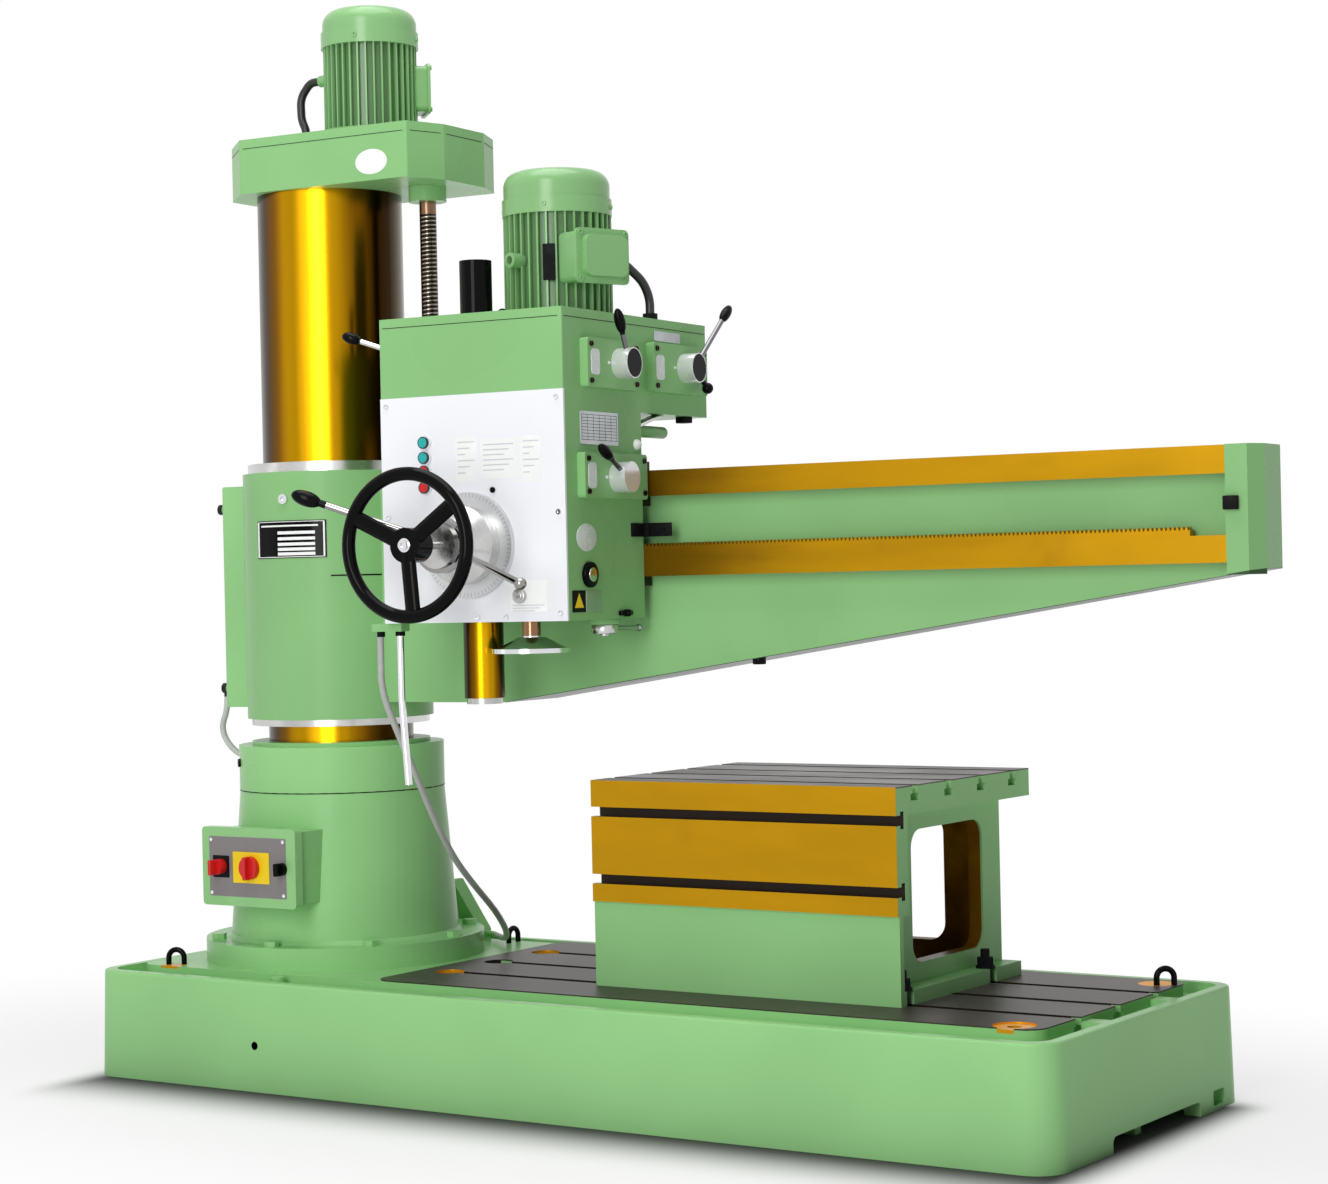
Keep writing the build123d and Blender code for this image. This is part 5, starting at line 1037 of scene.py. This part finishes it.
class DRILL_OT_under_trim(bpy.types.Operator):
    """Add the boss, rod and fittings below the head"""

    bl_idname = "drill.under_trim"
    bl_label = "Head underside trim"

    def execute(self, context):
        x, y = 0.912, -0.262
        boss = disc((x, y, 1.063), 0.036, 0.012, DOWN, 0.002)
        keep([boss], "under_boss", "head", "arm_enamel")
        cap = disc((x, y, 1.051), 0.030, 0.020, DOWN, 0.002)
        nose = disc((x, y, 1.031), 0.012, 0.005, DOWN, 0.001)
        keep([cap, nose], "under_cap", "head", "ring_steel")
        tip = (0.938, -0.158, 1.041)
        rod = [bar((0.930, y, 1.043), tip, 0.0055), ball(tip, 0.0085)]
        keep(rod, "under_rod", "head", "data_plate")
        unions = [disc((0.438, -0.440, 1.045), 0.010, 0.012, DOWN, 0.001, 6),
                  disc((0.490, -0.440, 1.045), 0.012, 0.010, DOWN, 0.001, 6)]
        keep(unions, "coolant_unions", "head", "black_matt")
        hexagon = disc((0.928, 0.085, 1.520), 0.022, 0.014, DOWN, 0.002, 6)
        keep([hexagon], "drain_plug", "head", "black_matt")
        shaft = disc((0.926, -0.150, 1.480), 0.0135, 0.142, (0, 1, 0), 0.005)
        keep([shaft], "clamp_cylinder", "head", "arm_enamel")
        bracket = block((-0.012, -0.062, -0.004), (0.012, 0.062, 0.004), 0.002)
        bracket.matrix_world = (Matrix.Translation((0.926, -0.086, 1.504))
                                @ Matrix.Rotation(math.radians(15), 4, "X"))
        keep([settle(bracket)], "clamp_bracket", "head", "hub_steel")
        return {"FINISHED"}


class DRILL_OT_motor_trim(bpy.types.Operator):
    """Add the motors' screws, eye, bare plate, conduit nuts and the gearbox's blank oval"""

    bl_idname = "drill.motor_trim"
    bl_label = "Motor trim"

    def execute(self, context):
        # Name, axis and body; radius and height of the skirt's screws; turn, distance, half width,
        # bottom and top of the terminal box's lid.
        motors = (
            ("drive", DRIVE_MOTOR, "head", 0.1235, 1.986, -22.5, 0.170, 0.072, 1.803, 1.925),
            ("lift", LIFT_MOTOR, "column", 0.1165, 2.459, 45.0, 0.138, 0.050, 2.285, 2.405),
        )
        inset = 0.010
        for name, axis, body, radius, skirt, turn, face, half, low, high in motors:
            screws = [cover_screw(polar(axis, radius, angle, skirt), outward(angle))
                      for angle in range(-72, 288, 90)]
            for side in (-1, 1):
                for z in (low + inset, high - inset):
                    corner = polar(axis, face, turn, z) + outward(turn + 90) * side * (half - inset)
                    screws.append(cover_screw(corner, outward(turn)))
            keep(screws, name + "_motor_screws", body, name + "_enamel")
        eye = screw_head(polar(DRIVE_MOTOR, 0.108, -105, 1.863), 0.017, 0.040, outward(-105))
        keep([eye], "drive_motor_eye", "head", "drive_enamel")
        label = plate((-0.014, -0.0014, 1.815), (0.014, 0.0, 1.896), 0.002)
        turn = -67.5
        label.matrix_world = (Matrix.Translation(polar(DRIVE_MOTOR, 0.1225, turn, 0))
                              @ Matrix.Rotation(math.radians(turn + 90), 4, "Z"))
        keep([settle(label)], "drive_motor_plate", "head", "black_matt")
        foot = ball(polar(DRIVE_MOTOR, 0.128, -142, 1.752), 0.013)
        keep([foot], "drive_motor_plug", "head", "gloss_black")
        for name, body, place in (("drive", "head", (0.936, -0.074, 1.733)),
                                  ("lift", "column", (-0.036, -0.040, 2.225))):
            nut = disc(place, 0.017, 0.013, UP, 0.001, 6)
            keep([nut], name + "_conduit_nut", body, "black_matt")
        middle = (0.258, -0.185, 2.138)
        oval = disc(middle, 0.030, context.scene.drill_trim.plate_thickness, FRONT, 0.0003, 64)
        stretched(oval, (1.5, 1, 0.98), middle)
        keep([oval], "gearbox_oval_plate", "column", "white_plate")
        return {"FINISHED"}


class DRILL_OT_sleeve_trim(bpy.types.Operator):
    """Add the sleeve's black plate with blank bars, its screw and a black strip of painted shade in the
    clamping slit
    """

    bl_idname = "drill.sleeve_trim"
    bl_label = "Sleeve trim"

    def execute(self, context):
        ground = curved_plate(SLEEVE_WALL, -110, -60, 1.218, 1.307, 0.0012)
        keep([ground], "sleeve_plate", "arm", "gloss_black")
        spans = [(-92, -67, z - 0.0036, z + 0.0036) for z in (1.278, 1.264, 1.251, 1.239, 1.228)]
        spans += [(-109, -61, z - 0.0008, z + 0.0008) for z in (1.2208, 1.3042)]
        spans += [(angle - 0.5, angle + 0.5, 1.220, 1.305) for angle in (-108.75, -61.25)]
        spans.append((-106, -65, 1.2925, 1.2965))
        bars = [curved_plate(SLEEVE_WALL + 0.0010, *span, 0.0004) for span in spans]
        keep(bars, "sleeve_plate_bars", "arm", "white_plate")
        screw = screw_head(polar((0, 0), 0.2245, -87, 1.358), 0.012, 0.007, outward(-87))
        keep([screw], "sleeve_screw", "arm", "plating")
        # Painted shade: a black strip where the clamping slit is.
        slit = curved_plate(SLEEVE_WALL, -58, -24, 1.1730, 1.1765, 0.0003)
        keep([slit], "sleeve_slit", "arm", "black_matt")
        plug = disc(polar((0, 0), 0.246, -134, 0.728), 0.010, 0.008, outward(-134), 0.001)
        keep([plug], "ring_plug", "column", "gloss_black")
        return {"FINISHED"}


class DRILL_OT_arm_trim(bpy.types.Operator):
    """Add the arm's bumper, plug and the handwheel's bolt"""

    bl_idname = "drill.arm_trim"
    bl_label = "Arm trim"

    def execute(self, context):
        bumper = block((2.288, -0.164, 1.260), (2.318, -0.150, 1.288), 0.002)
        keep([bumper], "arm_bumper", "arm", "black_matt")
        plug = disc((1.205, -0.094, 0.976), 0.015, 0.020, DOWN, 0.002)
        keep([plug], "arm_plug", "arm", "gloss_black")
        x, z = WHEEL_AXIS
        washer = disc((x, -0.724, z), 0.015, 0.002, FRONT, 0.0005)
        bolt = screw_head((x, -0.726, z), 0.011, 0.007, FRONT)
        keep([washer, bolt], "handwheel_bolt", "traverse_wheel", "plating")
        return {"FINISHED"}


class DRILL_OT_seam_lines(bpy.types.Operator):
    """Add the dark seams of the lids and a dark ring of painted shadow in the column ring's gap"""

    bl_idname = "drill.seam_lines"
    bl_label = "Seam lines"

    def execute(self, context):
        width = context.scene.drill_trim.seam_width
        # Painted shadow: a thin black ring in the gap between the column ring and the cone.
        seam = ring((0, 0, 0.662), 0.2472, width * 2, UP)
        keep([seam], "ring_seam", "base", "black_matt", arm=False)
        corners = ((-0.128, -0.185), (0.358, -0.185), (0.396, -0.084), (0.396, 0.084), (0.358, 0.185),
                   (-0.128, 0.185), (-0.231, 0.084), (-0.231, -0.084))
        keep(seam_round(corners, 2.203, width), "gearbox_seam", "column", "black_matt")
        corners = ((0.476, PANEL_FACE), (SIDE_FACE, PANEL_FACE), (SIDE_FACE, 0.157), (0.476, 0.157))
        keep(seam_round(corners, 1.713, width), "head_lid_seam", "head", "black_matt")
        return {"FINISHED"}


def seam_round(corners, z, width):
    """A thin seam along a closed outline, let into its corners."""
    pieces = []
    for start, end in zip(corners, corners[1:] + corners[:1]):
        run = (Vector(end) - Vector(start)).normalized() * 0.010
        pieces.append(bar((*(Vector(start) + run), z), (*(Vector(end) - run), z), width, 8))
    return pieces


class DRILL_OT_control_trim(bpy.types.Operator):
    """Add the control door's bare plate, its screws and the main switch's black base"""

    bl_idname = "drill.control_trim"
    bl_label = "Control box trim"

    def execute(self, context):
        face, depth = DOOR_FACE, DOOR_FACE + SINK
        sheet = plate((-0.136, face - 0.0001, 0.424), (0.104, depth, 0.565), 0.004, 0.0)
        keep([sheet], "control_plate", "door", "control_grey", arm=False)
        base = plate((-0.125, face - 0.0002, 0.468), (-0.073, depth, 0.520), 0.002, 0.0)
        keep([base], "main_switch_base", "door", "black_matt", arm=False)
        screws = [screw_head((x, face, z), 0.0045, 0.0025, FRONT)
                  for x in (-0.128, 0.096) for z in (0.432, 0.557)]
        keep(screws, "control_screws", "door", "plating", arm=False)
        return {"FINISHED"}


class DRILL_OT_studio(bpy.types.Operator):
    """Set the floor, the lights, the white room and the camera"""

    bl_idname = "drill.studio"
    bl_label = "Studio"

    def execute(self, context):
        studio = context.scene.drill_studio
        floor()
        lamp("Key", (2.2, -6.0, 2.7), (0.6, 0.0, 1.0), (2.2, 4.6), studio.key_power)
        lamp("Fill", (-3.6, -3.2, 2.4), (0.4, 0.0, 1.0), (1.6, 3.6), studio.fill_power)
        lamp("Top", (0.8, -0.6, 5.4), (0.8, 0.0, 0.0), (3.6, 3.6), studio.top_power)
        room(context.scene, studio.ambient)
        camera(context.scene, studio)
        context.scene.view_settings.view_transform = "Standard"
        return {"FINISHED"}


def floor():
    """Pale floor with a painted shadow along the base, fading to white away from the machine."""
    bpy.ops.object.select_all(action="DESELECT")
    bpy.ops.mesh.primitive_plane_add(size=60, location=(FLOOR_X, 0, -0.0005))
    piece = settle(bpy.context.active_object)
    piece.name = "floor"
    look = Look("floor_white")
    x, y, _ = look.axes
    away = (((x - FLOOR_X) * (x - FLOOR_X) * 0.35 + y * y) ** 0.5).ease(0.5, 1.9, 0.6, 1.0)
    # Painted shadow on the floor: distance from the base in reaches of the shadow, at the ends, in
    # front and behind.
    along = (-0.33 - x).largest(x - 2.115).largest(0.0) / 0.13
    ahead, behind = (-0.46 - y).largest(0.0) / 0.34, (y - 0.34).largest(0.0) / 0.12
    shadow_fade = ((along * along + ahead * ahead + behind * behind) ** 0.5).ease(0.0, 1.0, 0.0, 1.0)
    cloud = look.noise(3.0, 3.0)
    tone = look.tint(cloud, (0.88, 0.88, 0.88), (0.93, 0.93, 0.93))
    # Painted shadow: the floor's colour goes to near black along the base.
    look.set(Base_Color=look.tint(shadow_fade, (0.04, 0.04, 0.04), tone), Roughness=0.7,
             Specular_IOR_Level=0.2)
    glow = look.add("ShaderNodeEmission", None, {"Color": (1.0, 1.0, 1.0, 1.0), "Strength": 1.0})
    blend = look.add("ShaderNodeMixShader")
    look.feed(blend.inputs[0], away * shadow_fade)
    look.tree.links.new(look.shader.outputs[0], blend.inputs[1])
    look.tree.links.new(glow.outputs[0], blend.inputs[2])
    look.tree.links.new(blend.outputs[0], look.tree.nodes["Material Output"].inputs["Surface"])
    piece.data.materials.append(look.material)


def lamp(name, place, aim, size, power):
    """A soft light, wide and tall."""
    bpy.ops.object.light_add(type="AREA", location=place)
    light = bpy.context.active_object
    light.name = name
    light.data.shape = "RECTANGLE"
    light.data.size, light.data.size_y = size
    light.data.energy = power
    light.rotation_euler = (Vector(aim) - Vector(place)).to_track_quat("-Z", "Y").to_euler()


def room(scene, ambient):
    """White room to the camera and in reflections, a softer room for light."""
    world = bpy.data.worlds.new("White room")
    scene.world = world
    world.use_nodes = True
    tree = world.node_tree
    tree.nodes.clear()
    output = tree.nodes.new("ShaderNodeOutputWorld")
    path = tree.nodes.new("ShaderNodeLightPath")
    given, seen = (tree.nodes.new("ShaderNodeBackground") for light in range(2))
    for light, strength in ((given, ambient), (seen, 1.0)):
        light.inputs["Color"].default_value = (1, 1, 1, 1)
        light.inputs["Strength"].default_value = strength
    shown = path.outputs["Is Camera Ray"]
    for kind in ("Is Glossy Ray", "Is Transmission Ray"):
        either = tree.nodes.new("ShaderNodeMath")
        either.operation = "MAXIMUM"
        tree.links.new(shown, either.inputs[0])
        tree.links.new(path.outputs[kind], either.inputs[1])
        shown = either.outputs[0]
    mix = tree.nodes.new("ShaderNodeMixShader")
    for socket, source in zip(mix.inputs, (shown, given.outputs[0], seen.outputs[0])):
        tree.links.new(source, socket)
    tree.links.new(mix.outputs[0], output.inputs["Surface"])


def camera(scene, studio):
    """Camera at its measured place."""
    yaw, pitch, roll = studio.yaw, studio.pitch, studio.roll
    forward = Vector((-math.sin(yaw) * math.cos(pitch), math.cos(yaw) * math.cos(pitch),
                      math.sin(pitch)))
    level = Vector((math.cos(yaw), math.sin(yaw), 0))
    above = level.cross(forward)
    across = level * math.cos(roll) + above * math.sin(roll)
    upward = above * math.cos(roll) - level * math.sin(roll)
    bpy.ops.object.camera_add()
    eye = bpy.context.active_object
    turn = Matrix((across, upward, -forward)).transposed().to_4x4()
    eye.matrix_world = Matrix.Translation(studio.camera_place) @ turn
    eye.data.sensor_width = 36
    eye.data.lens = studio.lens
    eye.data.clip_end = 200
    scene.camera = eye


STEPS = (
    DRILL_OT_finish_frame, DRILL_OT_coolant_hose, DRILL_OT_sleeve_conduit, DRILL_OT_panel_trim,
    DRILL_OT_shift_trim, DRILL_OT_side_trim, DRILL_OT_under_trim, DRILL_OT_motor_trim,
    DRILL_OT_sleeve_trim, DRILL_OT_arm_trim, DRILL_OT_seam_lines, DRILL_OT_control_trim,
    DRILL_OT_studio,
)


class DRILL_PT_panel(bpy.types.Panel):
    """Builds the machine's looks from the sidebar"""

    bl_idname = "DRILL_PT_panel"
    bl_label = "Radial drilling machine"
    bl_space_type = "VIEW_3D"
    bl_region_type = "UI"
    bl_category = "Drill"

    def draw(self, context):
        for step in STEPS:
            self.layout.operator(step.bl_idname)


GROUPS = {"drill_colours": DrillColours, "drill_trim": DrillTrim, "drill_studio": DrillStudio}


def register():
    """Registers the property groups, operators and panel."""
    for name, group in GROUPS.items():
        bpy.utils.register_class(group)
        setattr(bpy.types.Scene, name, bpy.props.PointerProperty(type=group))
    for step in STEPS:
        bpy.utils.register_class(step)
    bpy.utils.register_class(DRILL_PT_panel)


def unregister():
    """Takes everything out again."""
    bpy.utils.unregister_class(DRILL_PT_panel)
    for step in reversed(STEPS):
        bpy.utils.unregister_class(step)
    for name, group in GROUPS.items():
        delattr(bpy.types.Scene, name)
        bpy.utils.unregister_class(group)


def main():
    """Runs every step in order."""
    register()
    for step in STEPS:
        family, action = step.bl_idname.split(".")
        getattr(getattr(bpy.ops, family), action)()


if __name__ == "__main__":
    main()
